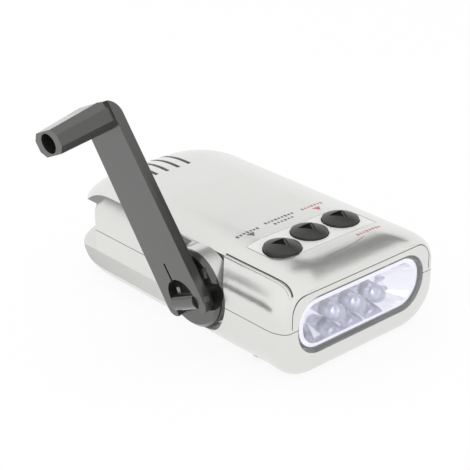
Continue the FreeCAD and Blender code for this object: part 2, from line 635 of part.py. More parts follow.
def make_crank_disc():
    """Bevelled disc with the hinge's knuckle, pockets for the arm's legs and the stop that props the arm."""
    bevel = cone("disc_face", "disc_radius - disc_bevel", "disc_radius", "disc_bevel", "0", "0", "0", "x")
    rim = rod("disc_rim", "disc_radius", "disc_thick - disc_bevel", "disc_bevel", "0", "0", "x")
    room = "(arm_tail + leg_room)"
    pockets = [rod(f"leg_pocket_{side}", room, "disc_radius", "-hinge_stand",
                   f"{side} * disc_radius / 2 - disc_radius / 2 + {side} * barrel_length / 2", "-hinge_drop",
                   "y")
               for side in (-1, 1)]
    disc = cut("disc_pocketed", fuse("disc_blank", bevel, rim), *pockets)
    barrel = rod("knuckle", "barrel_radius", "barrel_length", "-hinge_stand", "-barrel_length / 2",
                 "-hinge_drop", "y")
    web = box("knuckle_web", "-hinge_stand", "-barrel_length / 2", "-hinge_drop - barrel_radius",
              "hinge_stand + disc_bevel", "barrel_length", "2 * barrel_radius")
    lug = box("arm_stop", "-lug_height", "-(lug_out + lug_width)", "lug_up", "lug_height + disc_bevel / 2",
              "lug_width", "lug_length")
    pin_hole = rod("knuckle_bore", "pin_radius + running_gap", "disc_radius * 2", "-hinge_stand",
                   "-disc_radius",
                   "-hinge_drop", "y")
    socket = rod("shaft_socket", "shaft_radius", "disc_thick", "disc_thick / 2", "0", "0", "x")
    disc = cut("disc_solid", fuse("disc_features", disc, barrel, web, lug), pin_hole, socket)
    disc.Placement = hub_frame()
    return node(disc, "crank_disc")


def octagon(width, depth):
    """Corners of the grip's flattened eight-sided section, centred where the grip meets the arm."""
    half, deep = f"({width} / 2)", f"({depth} / 2)"
    corner = f"({depth} * grip_corner_share)"
    points = []
    for sign_y, sign_z, flat_first in ((1, -1, True), (1, 1, False), (-1, 1, True), (-1, -1, False)):
        near_side = (f"{sign_y} * {half}", f"arm_reach + {sign_z} * ({deep} - {corner})")
        near_flat = (f"{sign_y} * ({half} - {corner})", f"arm_reach + {sign_z} * {deep}")
        points += [near_flat, near_side] if flat_first else [near_side, near_flat]
    return points


def make_crank_arm():
    """Flat tapered arm and its fixed grip, one moulding with a window for the knuckle."""
    body = doc.addObject("PartDesign::Body", "arm_body")
    tip = "(arm_reach + grip_root_depth / 2)"
    outline = [("-arm_root_width / 2", "-arm_tail"), ("arm_root_width / 2", "-arm_tail"),
               ("arm_tip_width / 2", tip), ("-arm_tip_width / 2", tip)]
    blade = pad(body, "arm_blade", sketch(body, "arm_outline", "YZ_Plane", outline), "arm_thick",
                symmetric=True)
    grip = body.newObject("PartDesign::AdditiveLoft", "grip_loft")
    grip.Profile = sketch(body, "grip_root", "YZ_Plane", octagon("grip_root_width", "grip_root_depth"),
                          offset="-arm_thick / 4")
    grip.Sections = [sketch(body, "grip_end", "YZ_Plane", octagon("grip_end_width", "grip_end_depth"),
                            offset="-(arm_thick / 2 + grip_length)")]
    grip.Ruled = True
    tail_corners = edges_where(body, grip, lambda edge: abs(edge.CenterOfMass.z + size("arm_tail")) < 0.01
                               and abs(edge.tangentAt(edge.FirstParameter).x) > 0.9)
    round_edges(body, "arm_tail_rounding", grip, tail_corners, "window_rise + leg_room")
    window = "(window_width / 2)"
    bend = cut("arm_bend_tool", box("arm_bend_block", "arm_thick / 2 - arm_bend", "-arm_root_width",
                                    f"{tip} - arm_bend", "arm_bend * 2", "2 * arm_root_width",
                                    "arm_bend * 2"),
               rod("arm_bend_round", "arm_bend", "2 * arm_root_width", "arm_thick / 2 - arm_bend",
                   "-arm_root_width", f"{tip} - arm_bend", "y"))
    cutters = [bend, rod("window_arch", window, "arm_thick * 2", "-arm_thick", "0", "window_rise", "x"),
               box("window_gap", "-arm_thick", f"-{window}", "-arm_tail * 2", "arm_thick * 2", "window_width",
                   "arm_tail * 2 + window_rise"),
               box("arm_slit", "-arm_thick", "slit_width", f"window_rise + {window} - slit_width",
                   "arm_thick * 2",
                   "slit_width", "slit_length + slit_width"),
               rod("arm_pin_bore", "pin_radius + running_gap", "arm_root_width * 2", "0", "-arm_root_width",
                   "0",
                   "y"),
               rod("grip_bore_hole", "grip_bore", "grip_bore_depth * 2",
                   "-(arm_thick / 2 + grip_length) - grip_bore_depth",
                   "0", "arm_reach", "x")]
    arm = cut("arm_solid", body, *cutters)
    arm.Placement = arm_frame()
    pin = rod("hinge_pin_rod", "pin_radius", "arm_root_width - wall", "0", "-(arm_root_width - wall) / 2",
              "0", "y")
    pin.Placement = Placement(arm_frame().multVec(Vector(0, -number("(arm_root_width - wall) / 2"), 0)),
                              arm_frame().Rotation.multiply(TURNS["y"]))
    for name in ("x", "y", "z"):
        pin.setExpression(f"Placement.Base.{name}", None)
    node(arm, "crank_arm")
    return node(pin, "hinge_pin")


# Gearbox

GEARBOX_X = "(gearbox_left_x + gear_plate_thick)"
LAYERS = [f"({GEARBOX_X} + layer_gap + {index} * (gear_face + layer_gap))" for index in range(3)]
RIGHT_PLATE_X = f"({GEARBOX_X} + layer_gap + 3 * (gear_face + layer_gap))"
FIRST_REACH = "(tooth_module * (drive_teeth + pinion_teeth) / 2 + mesh_gap)"
NEXT_REACH = "(tooth_module * (wheel_teeth + pinion_teeth) / 2 + mesh_gap)"
FIRST_Y = f"(hub_y + {FIRST_REACH} * cos(idler_drop_angle))"
FIRST_Z = f"(hub_height + {FIRST_REACH} * sin(idler_drop_angle))"
SECOND_Y = f"({FIRST_Y} + {NEXT_REACH} * cos(second_rise_angle))"
SECOND_Z = f"({FIRST_Z} + {NEXT_REACH} * sin(second_rise_angle))"
ROTOR_Y = f"({SECOND_Y} + {NEXT_REACH} * cos(rotor_drop_angle))"
ROTOR_Z = f"({SECOND_Z} + {NEXT_REACH} * sin(rotor_drop_angle))"


def gear_solid(teeth, face, facing, on_gap):
    """A spur gear about X, starting at x = 0, with a tooth or a gap turned to face an angle from +Y."""
    module = size("tooth_module")
    pitch = module * teeth / 2
    step = 2 * math.pi / teeth
    start = math.radians(facing) + (step / 2 if on_gap else 0.0)
    root, tip = pitch - module, pitch + size("tooth_tip_height") * module
    wide, narrow = size("tooth_root_share"), size("tooth_tip_share")
    points = []
    for index in range(int(teeth)):
        middle = start + index * step
        for radius, share in ((root, -wide), (tip, -narrow), (tip, narrow), (root, wide)):
            angle = middle + share * step
            points.append(Vector(0, radius * math.cos(angle), radius * math.sin(angle)))
    points.append(points[0])
    return Part.Face(Part.makePolygon(points)).extrude(Vector(face, 0, 0))


def gear(name, teeth, layer, length, y, z, facing, on_gap):
    """A gear wheel in one of the gearbox's three layers."""
    return feature(name, gear_solid(size(teeth), number(length), facing, on_gap),
                   Placement(Vector(number(LAYERS[layer]), number(y), number(z)), Rotation()))


def make_gears():
    """Drive gear on the crank, two stepped idlers and the rotor's pinion, in mesh at rest."""
    first, second, last = size("idler_drop_angle"), size("second_rise_angle"), size("rotor_drop_angle")
    drive = gear("drive_wheel", "drive_teeth", 0, "gear_face", "hub_y", "hub_height", first, False)
    collar = rod("drive_collar", "shaft_radius + hub_wall", "gear_face + 2 * (layer_gap - fit_gap)",
                 f"{LAYERS[0]} - layer_gap + fit_gap", "hub_y", "hub_height", "x")
    bore = rod("drive_bore", "shaft_radius", "case_width", f"{SIDE_X}", "hub_y", "hub_height", "x")
    node(cut("drive_gear_solid", fuse("drive_blank", drive, collar), bore), "drive_gear")
    idlers = (("idler_gear_1", FIRST_Y, FIRST_Z, 0, first + 180, second),
              ("idler_gear_2", SECOND_Y, SECOND_Z, 1, second + 180, last))
    for name, y, z, layer, back, onward in idlers:
        pinion = gear(name + "_pinion", "pinion_teeth", layer, "gear_face + layer_gap + gear_face / 2", y, z,
                      back, True)
        wheel = gear(name + "_wheel", "wheel_teeth", layer + 1, "gear_face", y, z, onward, False)
        collar = rod(name + "_collar", "axle_radius + hub_wall",
                     f"{RIGHT_PLATE_X} - {GEARBOX_X} - 2 * fit_gap",
                     f"{GEARBOX_X} + fit_gap", y, z, "x")
        hole = rod(name + "_bore", "axle_radius + running_gap", "case_width", SIDE_X, y, z, "x")
        node(cut(name + "_solid", fuse(name + "_blank", pinion, wheel, collar), hole), name)
    pinion = gear("rotor_pinion_teeth", "pinion_teeth", 2, "gear_face", ROTOR_Y, ROTOR_Z, last + 180, True)
    hole = rod("rotor_pinion_bore", "rotor_shaft_radius", "case_width", SIDE_X, ROTOR_Y, ROTOR_Z, "x")
    return node(cut("rotor_pinion_solid", pinion, hole), "rotor_pinion")


def make_shafts():
    """Crank shaft with its bush and clip, the idlers' axles and the rotor's shaft."""
    start = f"({SIDE_X} - disc_proud + disc_thick / 2)"
    end = f"({RIGHT_PLATE_X} + gear_plate_thick)"
    node(rod("crank_shaft_rod", "shaft_radius", f"{end} - {start}", start, "hub_y", "hub_height", "x"),
         "crank_shaft")
    bush = cut("bush_solid", rod("bush_outer", "shaft_radius + bush_wall", "bush_length", FLOOR_X, "hub_y",
                                 "hub_height", "x"),
               rod("bush_bore", "shaft_radius + running_gap", "case_width", SIDE_X, "hub_y", "hub_height",
                   "x"))
    node(bush, "shaft_bush")
    clip_x = f"{FLOOR_X} + bush_length + fit_gap"
    node(cut("clip_solid", rod("clip_outer", "clip_radius", "clip_thick", clip_x, "hub_y", "hub_height", "x"),
             rod("clip_bore", "shaft_radius", "case_width", SIDE_X, "hub_y", "hub_height", "x")),
             "shaft_clip")
    axles = [rod(f"axle_{index}", "axle_radius", f"{end} - gearbox_left_x", "gearbox_left_x", y, z, "x")
             for index, (y, z) in enumerate(((FIRST_Y, FIRST_Z), (SECOND_Y, SECOND_Z)))]
    node(fuse("axle_pair", *axles), "idler_axles")
    node(rod("rotor_shaft_rod", "rotor_shaft_radius", f"{end} + can_length - {LAYERS[2]}", LAYERS[2],
             ROTOR_Y, ROTOR_Z, "x"), "rotor_shaft")


PILLARS = (("gear_plate_front_y + pillar_inset", "wall + pillar_inset"),
           ("gear_plate_rear_y - pillar_inset", "wall + pillar_inset"),
           ("gear_plate_rear_y - pillar_inset", "gear_plate_high - pillar_inset"),
           (f"({FIRST_Y} + pillar_shift)", "gear_plate_high - pillar_inset"))


def make_gear_plates():
    """Two side plates that carry every axle, held apart by four pillars with a screw each."""
    holes = [("hub_y", "hub_height", "shaft_radius + running_gap"), (FIRST_Y, FIRST_Z, "axle_radius"),
             (SECOND_Y, SECOND_Z, "axle_radius")]
    screws = [(y, z, "small_screw + fit_gap") for y, z in PILLARS]
    rotor = [(ROTOR_Y, ROTOR_Z, "rotor_shaft_radius + running_gap")]
    for label, x, round_holes in (("gear_plate_left", "gearbox_left_x", holes + screws),
                                  ("gear_plate_right", RIGHT_PLATE_X, holes + rotor)):
        sheet_metal = box(label + "_blank", x, "gear_plate_front_y", "wall + running_gap", "gear_plate_thick",
                          "gear_plate_rear_y - gear_plate_front_y", "gear_plate_high - wall - running_gap")
        drills = [rod(f"{label}_hole_{index}", radius, "gear_plate_thick * 3", f"{x} - gear_plate_thick", y,
                      z, "x")
                  for index, (y, z, radius) in enumerate(round_holes)]
        node(cut(label + "_solid", sheet_metal, *drills), label)
    gap = f"({RIGHT_PLATE_X} - {GEARBOX_X})"
    pillars = [cut(f"pillar_{index}", rod(f"pillar_rod_{index}", "post_radius", gap, GEARBOX_X, y, z, "x"),
                   rod(f"pillar_bore_{index}", "small_screw + running_gap", "small_length", GEARBOX_X, y, z,
                       "x"))
               for index, (y, z) in enumerate(PILLARS)]
    node(fuse("pillar_group", *pillars), "gearbox_pillars")
    screws = []
    for index, (y, z) in enumerate(PILLARS):
        screws.append(rod(f"pillar_screw_{index}", "small_screw", "small_length", "gearbox_left_x", y, z,
                          "x"))
        screws.append(rod(f"pillar_screw_head_{index}", "small_head", "small_head_thick",
                          "gearbox_left_x - small_head_thick", y, z, "x"))
    node(fuse("pillar_screw_group", *screws), "gearbox_screws")


def make_generator():
    """Magnet on the rotor's shaft inside a wound core, in a can fixed to the right plate."""
    can_x = f"({RIGHT_PLATE_X} + gear_plate_thick)"
    can = cut("can_solid",
              rod("can_outer", "core_radius + can_wall", "can_length", can_x, ROTOR_Y, ROTOR_Z, "x"),
              rod("can_inner", "core_radius", "can_length - can_wall", can_x, ROTOR_Y, ROTOR_Z, "x"),
              rod("can_bore", "rotor_shaft_radius + running_gap", "can_length * 2", can_x, ROTOR_Y, ROTOR_Z,
                  "x"))
    node(can, "generator_can")
    magnet_x = f"({can_x} + (can_length - can_wall - magnet_length) / 2)"
    node(cut("magnet_solid",
             rod("magnet_outer", "magnet_radius", "magnet_length", magnet_x, ROTOR_Y, ROTOR_Z, "x"),
             rod("magnet_bore", "rotor_shaft_radius", "case_width", SIDE_X, ROTOR_Y, ROTOR_Z, "x")),
             "rotor_magnet")
    ring = cut("core_ring",
               rod("core_outer", "core_radius - running_gap", "magnet_length", magnet_x, ROTOR_Y, ROTOR_Z,
                   "x"),
               rod("core_inner", "core_radius - can_wall * 2", "magnet_length", magnet_x, ROTOR_Y, ROTOR_Z,
                   "x"))
    centre = Vector(number(magnet_x), number(ROTOR_Y), number(ROTOR_Z))
    long, thick, gap = size("magnet_length"), size("coil_width"), size("coil_gap")
    reach = size("core_radius") - size("can_wall") * 1.5
    gap_radius = size("magnet_radius") + size("air_gap")
    pole_count = int(size("pole_count"))
    poles, coils = [], []
    for index in range(pole_count):
        turn = Placement(centre, Rotation(Vector(1, 0, 0), 360 * index / pole_count))
        pole = Part.makeBox(long, thick, reach - gap_radius, Vector(0, -thick / 2, gap_radius))
        poles.append(feature(f"pole_{index}", pole, turn))
        coil_start = gap_radius + size("running_gap") + gap
        coil_end = size("core_radius") - size("can_wall") * 2 - 2 * gap
        coil = Part.makeBox(long + 2 * size("can_wall"), thick * 2, coil_end - coil_start,
                            Vector(-size("can_wall"), -thick, coil_start))
        hole = Part.makeBox(long + gap, thick + gap, coil_end,
                            Vector(-gap / 2, -thick / 2 - gap / 2, gap_radius - thick))
        coils.append(feature(f"coil_{index}", coil.cut(hole), turn))
    node(fuse("core_solid", ring, *poles), "stator_core")
    node(fuse("coil_group", *coils), "stator_coils")


# Battery, boards, buzzer and fasteners

def make_electrics():
    """Three stacked cells in a sleeve, the charging board and what stands on it, and the buzzer."""
    cells = [rod(f"cell_{index}", "cell_radius", "cell_height - fit_gap", PACK_X, "pack_y",
                 f"pack_low + {index} * cell_height") for index in range(int(size("cell_count")))]
    node(fuse("cell_group", *cells), "battery_cells")
    total = "cell_count * cell_height"
    node(cut("sleeve_solid",
             rod("sleeve_outer", "cell_radius + sleeve_thick", total, PACK_X, "pack_y", "pack_low"),
             rod("sleeve_inner", "cell_radius + fit_gap / 2", total, PACK_X, "pack_y", "pack_low")),
         "battery_sleeve")
    left, front = f"({MAIN_BOARD_X} - main_board_wide / 2)", "(main_board_y - main_board_long / 2)"
    top = "(main_board_low + board_thick)"
    board = cut("main_board_solid", box("main_board_blank", left, front, "main_board_low", "main_board_wide",
                                        "main_board_long", "board_thick"),
                *[rod(f"main_board_hole_{index}", "small_screw + fit_gap", "board_thick * 3", x, y,
                      "main_board_low - board_thick") for index, (x, y) in enumerate(BOARD_POSTS)])
    node(board, "main_board")
    node(rod("capacitor_can", "capacitor_radius", "capacitor_height",
             f"{left} + part_edge + capacitor_radius",
             f"{front} + main_board_long - part_edge - capacitor_radius", top), "capacitor")
    chips = [box(f"chip_{index}", f"{left} + main_board_wide - part_edge - chip_side",
                 f"{front} + part_edge + {index} * (chip_side + part_edge)", top, "chip_side", "chip_side",
                 "chip_height") for index in range(2)]
    node(fuse("chip_group", *chips), "board_chips")
    node(rod("buzzer_disc", "buzzer_radius", "buzzer_height", "buzzer_x", BUZZER_Y,
             f"{BUZZER_TOP} - buzzer_height"), "buzzer")
    board_screws = []
    for index, (x, y) in enumerate(BOARD_POSTS):
        board_screws.append(rod(f"board_screw_{index}", "small_screw - fit_gap / 2", "small_length", x, y,
                                f"{top} - small_length"))
        board_screws.append(rod(f"board_screw_head_{index}", "small_head", "small_head_thick", x, y, top))
    node(fuse("board_screw_group", *board_screws), "board_screws")
    screws = []
    for which, (x, y) in BOSSES.items():
        screws.append(rod(f"case_screw_{which}", "screw_radius", "screw_length", x, y, "screw_sink"))
        head = rod(f"case_screw_head_{which}", "screw_head", "screw_head_thick", x, y,
                   "screw_sink - screw_head_thick")
        drive = box(f"case_screw_slot_{which}", f"{x} - screw_head", f"{y} - fit_gap * 2",
                    "screw_sink - screw_head_thick * 1.5", "screw_head * 2", "fit_gap * 4",
                    "screw_head_thick")
        screws.append(cut(f"case_screw_slotted_{which}", head, drive))
    node(fuse("case_screw_group", *screws), "case_screws")


make_lens()
make_reflector()
make_lamps()
make_buttons()
make_crank_disc()
make_crank_arm()
make_gears()
make_shafts()
make_gear_plates()
make_generator()
make_electrics()


def check_and_export():
    """Stops on any failed object or shape, then writes each piece."""
    doc.removeObject(workings.Name)
    doc.recompute()
    for thing in doc.Objects:
        if "Invalid" in thing.State or "Error" in thing.State:
            raise RuntimeError(f"{thing.Name} failed: {thing.State}")
    for piece in NODES:
        if piece.Shape.isNull() or not piece.Shape.isValid() or not piece.Shape.Solids:
            raise RuntimeError(f"{piece.Label} has no valid solid")
    os.makedirs("parts", exist_ok=True)
    for piece in NODES:
        piece.Shape.exportStep(f"parts/{piece.Label}.step")
        print(piece.Label, len(piece.Shape.Solids), round(piece.Shape.Volume, 2))


check_and_export()
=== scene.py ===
"""Looks of the hand crank flashlight: finishes, printed marks, seams, lamp cores, studio and camera.

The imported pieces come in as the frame, in metres, +Z up, with the lens towards -Y and the crank on -X.
"""
from __future__ import annotations

import json
import logging
import math
from dataclasses import dataclass
from enum import Enum
from typing import Sequence

import bmesh
import bpy
from mathutils import Matrix, Vector
from mathutils.bvhtree import BVHTree

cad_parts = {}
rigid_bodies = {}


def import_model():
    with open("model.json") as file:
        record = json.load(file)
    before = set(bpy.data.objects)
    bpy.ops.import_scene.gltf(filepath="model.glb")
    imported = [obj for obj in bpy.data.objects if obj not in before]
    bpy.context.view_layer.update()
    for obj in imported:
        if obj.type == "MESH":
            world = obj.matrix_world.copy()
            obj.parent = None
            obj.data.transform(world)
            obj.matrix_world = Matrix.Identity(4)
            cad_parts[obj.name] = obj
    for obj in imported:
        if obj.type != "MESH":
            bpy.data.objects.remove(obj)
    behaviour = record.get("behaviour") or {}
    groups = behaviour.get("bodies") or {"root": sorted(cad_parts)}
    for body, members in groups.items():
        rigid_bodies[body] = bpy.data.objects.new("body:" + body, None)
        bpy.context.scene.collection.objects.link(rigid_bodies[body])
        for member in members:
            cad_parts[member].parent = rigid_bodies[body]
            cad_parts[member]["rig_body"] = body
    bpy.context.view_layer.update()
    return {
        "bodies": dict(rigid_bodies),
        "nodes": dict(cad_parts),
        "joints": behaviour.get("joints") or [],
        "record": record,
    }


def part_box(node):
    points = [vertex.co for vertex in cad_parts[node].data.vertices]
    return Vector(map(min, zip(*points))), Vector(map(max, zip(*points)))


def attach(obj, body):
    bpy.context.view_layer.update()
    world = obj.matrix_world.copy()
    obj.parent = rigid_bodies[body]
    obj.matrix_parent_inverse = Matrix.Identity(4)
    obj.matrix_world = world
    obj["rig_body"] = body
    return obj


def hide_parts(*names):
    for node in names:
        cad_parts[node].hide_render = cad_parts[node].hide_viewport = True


LOG = logging.getLogger("flashlight")
MM = 0.001
WELD = 0.002 * MM
FLAT_DEGREES = 0.6
ROUNDING_SEGMENTS = 3
RAY_HEIGHT = 100.0 * MM
DOWN = Vector((0.0, 0.0, -1.0))
SQUARE = ((-1, -1), (1, -1), (1, 1), (-1, 1))
SIDES = ("left", "middle", "right")
Colour = tuple[float, float, float]
Point = tuple[float, float, float]
Shape = tuple[list[Vector], list[Sequence[int]]]


class Link:
    """One output of a node tree, on which Python's own arithmetic adds Math nodes."""

    def __init__(self, graph: "Graph", socket: bpy.types.NodeSocket) -> None:
        """Keeps the tree and the socket.

        Args:
            graph: the tree that the socket is in.
            socket: an output socket.
        """
        self.graph = graph
        self.socket = socket

    def _math(self, operation: str, first: object, second: object = None, clamp: bool = False) -> "Link":
        """Adds one Math node.

        Args:
            operation: the Math node's operation.
            first: its first value or link.
            second: its second value or link, if it has one.
            clamp: whether the result is kept between 0 and 1.

        Returns:
            The node's result.
        """
        sockets = {0: first} if second is None else {0: first, 1: second}
        return self.graph.add("ShaderNodeMath", {"operation": operation, "use_clamp": clamp}, sockets)

    def __add__(self, other: object) -> "Link":
        """Sum."""
        return self._math("ADD", self, other)

    def __radd__(self, other: object) -> "Link":
        """Sum with a number on the left."""
        return self._math("ADD", other, self)

    def __sub__(self, other: object) -> "Link":
        """Difference."""
        return self._math("SUBTRACT", self, other)

    def __rsub__(self, other: object) -> "Link":
        """Difference from a number on the left."""
        return self._math("SUBTRACT", other, self)

    def __mul__(self, other: object) -> "Link":
        """Product."""
        return self._math("MULTIPLY", self, other)

    def __rmul__(self, other: object) -> "Link":
        """Product with a number on the left."""
        return self._math("MULTIPLY", other, self)

    def __abs__(self) -> "Link":
        """Size without its sign."""
        return self._math("ABSOLUTE", self)

    def below(self, limit: float) -> "Link":
        """One where this is under a limit, and otherwise zero."""
        return self._math("LESS_THAN", self, limit)

    def above(self, limit: float) -> "Link":
        """One where this is over a limit, and otherwise zero."""
        return self._math("GREATER_THAN", self, limit)

    def floored(self, least: float = 0.0) -> "Link":
        """The value, but not under a least one."""
        return self._math("MAXIMUM", self, least)

    def root(self) -> "Link":
        """Square root."""
        return self._math("SQRT", self)

    def hypot(self, other: "Link") -> "Link":
        """The long side of a right angle whose short sides are this and another."""
        return (self * self + other * other).root()

    def capped(self) -> "Link":
        """The value kept between 0 and 1."""
        return self._math("ADD", self, 0.0, clamp=True)


class Graph:
    """A node tree, with one method that makes any node."""

    def __init__(self, tree: bpy.types.NodeTree) -> None:
        """Empties the tree.

        Args:
            tree: a shader or geometry tree.
        """
        self.tree = tree
        tree.nodes.clear()

    def add(self, kind: str, settings: dict | None = None, sockets: dict | None = None, out: int | str = 0) -> Link:
        """Makes a node, sets it up and joins its inputs.

        Args:
            kind: the node's type.
            settings: properties, set before the sockets.
            sockets: value or Link for an input's name or number.
            out: which output is handed back.

        Returns:
            The chosen output, or an empty Link for a node with none.
        """
        node = self.tree.nodes.new(kind)
        for name, value in (settings or {}).items():
            setattr(node, name, value)
        for name, value in (sockets or {}).items():
            target = node.inputs[name]
            if isinstance(value, Link):
                self.tree.links.new(value.socket, target)
            else:
                target.default_value = value
        return Link(self, node.outputs[out] if len(node.outputs) else None)

    def mix(self, share: object, first: object, second: object) -> Link:
        """Mixes two colours.

        Args:
            share: how much of the second.
            first: a colour or link.
            second: a colour or link.

        Returns:
            The mixed colour.
        """
        def whole(colour: object) -> object:
            """A colour with its alpha."""
            return colour if isinstance(colour, Link) else (*colour, 1.0)

        return self.add("ShaderNodeMix", {"data_type": "RGBA"}, {0: share, 6: whole(first), 7: whole(second)}, 2)

    def place(self, scale: Point = (1.0, 1.0, 1.0)) -> Link:
        """Object coordinates, scaled.

        Args:
            scale: factor along each axis.

        Returns:
            The mapped coordinates.
        """
        at = self.add("ShaderNodeTexCoord", {}, {}, "Object")
        return self.add("ShaderNodeMapping", {}, {"Vector": at, "Scale": scale})

    def axes(self) -> tuple[Link, ...]:
        """Object coordinates along X, Y and Z, in metres.

        Returns:
            The three coordinates.
        """
        at = self.add("ShaderNodeTexCoord", {}, {}, "Object")
        return tuple(self.add("ShaderNodeSeparateXYZ", {}, {0: at}, axis) for axis in "XYZ")

    def noise(self, scale: float, detail: float = 2.0, stretch: Point = (1.0, 1.0, 1.0)) -> Link:
        """Noise on object coordinates.

        Args:
            scale: noise cells for each metre.
            detail: finer layers.
            stretch: factor along each axis.

        Returns:
            The noise, about 0 to 1.
        """
        return self.add("ShaderNodeTexNoise", {}, {"Vector": self.place(stretch), "Scale": scale, "Detail": detail})


def blank(name: str) -> tuple[bpy.types.Material, Graph]:
    """A new material with an empty node tree.

    Args:
        name: the material's name.

    Returns:
        The material and its tree.
    """
    made = bpy.data.materials.new(name)
    made.use_nodes = True
    return made, Graph(made.node_tree)


@dataclass(frozen=True)
class Finish:
    """A surface of one kind, with drift in its colour and gloss and a fine grain."""

    slot: str
    colour: Colour
    roughness: float = 0.4
    metallic: float = 0.0
    coat: float = 0.0
    specular: float = 0.5
    drift: float = 0.06
    drift_scale: float = 90.0
    grain: float = 0.02
    grain_scale: float = 9000.0
    stretch: Point = (1.0, 1.0, 1.0)
    glow: float = 0.0
    coat_roughness: float = 0.12
    drift_detail: float = 3.0
    bump_depth: float = 0.2 * MM

    def tint(self, graph: Graph, drift: Link) -> Link:
        """The surface's colour.

        Args:
            graph: the material's tree.
            drift: slow noise over the surface.

        Returns:
            The colour.
        """
        dark = tuple(channel * (1.0 - self.drift) for channel in self.colour)
        light = tuple(min(1.0, channel * (1.0 + self.drift)) for channel in self.colour)
        return graph.mix(drift, dark, light)

    def shine(self, graph: Graph) -> object:
        """How much of the surface is bare metal.

        Args:
            graph: the material's tree.

        Returns:
            A number, or a link where it varies.
        """
        return self.metallic

    def fixed(self) -> dict:
        """Values that are the same all over the surface.

        Returns:
            The shader's sockets and their values.
        """
        return {"Specular IOR Level": self.specular, "Coat Roughness": self.coat_roughness}

    def material(self) -> bpy.types.Material:
        """Builds the material.

        Returns:
            The material.
        """
        made, graph = blank(self.slot)
        drift = graph.noise(self.drift_scale, self.drift_detail)
        fine = graph.noise(self.grain_scale, stretch=self.stretch)
        bump = graph.add("ShaderNodeBump", {},
                         {"Height": fine, "Strength": self.grain, "Distance": self.bump_depth})
        sockets = {"Base Color": self.tint(graph, drift), "Normal": bump, "Metallic": self.shine(graph),
                   "Roughness": self.roughness * (1.0 - self.drift) + drift * (2.0 * self.roughness * self.drift),
                   "Coat Weight": self.coat, **self.fixed()}
        if self.glow:
            sockets["Emission Color"] = (*self.colour, 1.0)
            sockets["Emission Strength"] = self.glow
        shader = graph.add("ShaderNodeBsdfPrincipled", {}, sockets)
        graph.add("ShaderNodeOutputMaterial", {}, {"Surface": shader})
        made.diffuse_color = (*self.colour, 1.0)
        return made


@dataclass(frozen=True)
class SilverPaint(Finish):
    """Metallic case paint with fine flakes, dark where the shells part and along the ring round the front."""

    parting_height: float = 16.1 * MM
    seam_half: float = 0.11 * MM
    seam_colour: Colour = (0.13, 0.13, 0.125)
    flake_scale: float = 14000.0
    flake_share: float = 0.4
    ring_half: float = 0.143 * MM
    ring_corner: tuple[float, float] = (21.05 * MM, 20.2 * MM)
    ring_radius: float = 5.25 * MM
    ring_low: float = 17.0 * MM
    ring_front: float = -48.2 * MM

    def tint(self, graph: Graph, drift: Link) -> Link:
        """Paint colour with flakes, the parting line and the front ring's line.

        Args:
            graph: the material's tree.
            drift: slow noise over the surface.

        Returns:
            The colour.
        """
        flakes = graph.noise(self.flake_scale, 0.0)
        mottle = (drift * (1.0 - self.flake_share) + flakes * self.flake_share).capped()
        base = Finish.tint(self, graph, mottle)
        x, y, z = graph.axes()
        seam = abs(z - self.parting_height).below(self.seam_half)
        aside = (abs(x) - self.ring_corner[0]).floored()
        up = (z - self.ring_corner[1]).floored()
        ring = abs(aside.hypot(up) - self.ring_radius).below(self.ring_half)
        ring = ring * y.below(self.ring_front) * z.above(self.ring_low)
        return graph.mix((seam + ring).capped(), base, self.seam_colour)


@dataclass(frozen=True)
class HubMoulding(Finish):
    """Glossy dark moulding whose skirt, behind the front edge, is painted like the case."""

    axle_y: float = -14.0 * MM
    axle_z: float = 17.0 * MM
    face_radius: float = 10.9 * MM
    skirt_x: float = -29.2 * MM
    skirt_colour: Colour = (0.66, 0.66, 0.645)
    skirt_metal: float = 0.75

    def skirt(self, graph: Graph) -> Link:
        """One on the painted skirt, and zero in front of it.

        Args:
            graph: the material's tree.

        Returns:
            The mask.
        """
        x, y, z = graph.axes()
        far = (y - self.axle_y).hypot(z - self.axle_z)
        return x.above(self.skirt_x) * far.above(self.face_radius)

    def tint(self, graph: Graph, drift: Link) -> Link:
        """Dark in front, paint on the skirt.

        Args:
            graph: the material's tree.
            drift: slow noise over the surface.

        Returns:
            The colour.
        """
        return graph.mix(self.skirt(graph), Finish.tint(self, graph, drift), self.skirt_colour)

    def shine(self, graph: Graph) -> Link:
        """Metal flakes on the skirt only.

        Args:
            graph: the material's tree.

        Returns:
            The share of metal.
        """
        return self.skirt(graph) * self.skirt_metal


@dataclass(frozen=True)
class ClearMoulding(Finish):
    """Clear plastic that light passes through."""

    ior: float = 1.46
    clear: float = 1.0

    def fixed(self) -> dict:
        """Values for a clear body.

        Returns:
            The shader's sockets and their values.
        """
        return {"Transmission Weight": self.clear, "IOR": self.ior, "Specular IOR Level": self.specular}


@dataclass(frozen=True)
class CoatedBoard(Finish):
    """Green circuit board with lighter copper tracks under its coating."""

    track_scale: float = 900.0
    track_width: float = 0.12
    track_colour: Colour = (0.10, 0.34, 0.16)

    def tint(self, graph: Graph, drift: Link) -> Link:
        """Board colour with a maze of tracks.

        Args:
            graph: the material's tree.
            drift: slow noise over the surface.

        Returns:
            The colour.
        """
        cells = graph.add("ShaderNodeTexVoronoi", {"feature": "DISTANCE_TO_EDGE", "distance": "EUCLIDEAN"},
                          {"Vector": graph.place(), "Scale": self.track_scale})
        return graph.mix(cells.below(self.track_width), Finish.tint(self, graph, drift), self.track_colour)


DARK_GLOSS = {"slot": "charcoal", "colour": (0.020, 0.021, 0.018), "roughness": 0.30, "coat": 0.8,
              "specular": 1.0, "drift": 0.10, "grain": 0.05, "grain_scale": 5000.0}


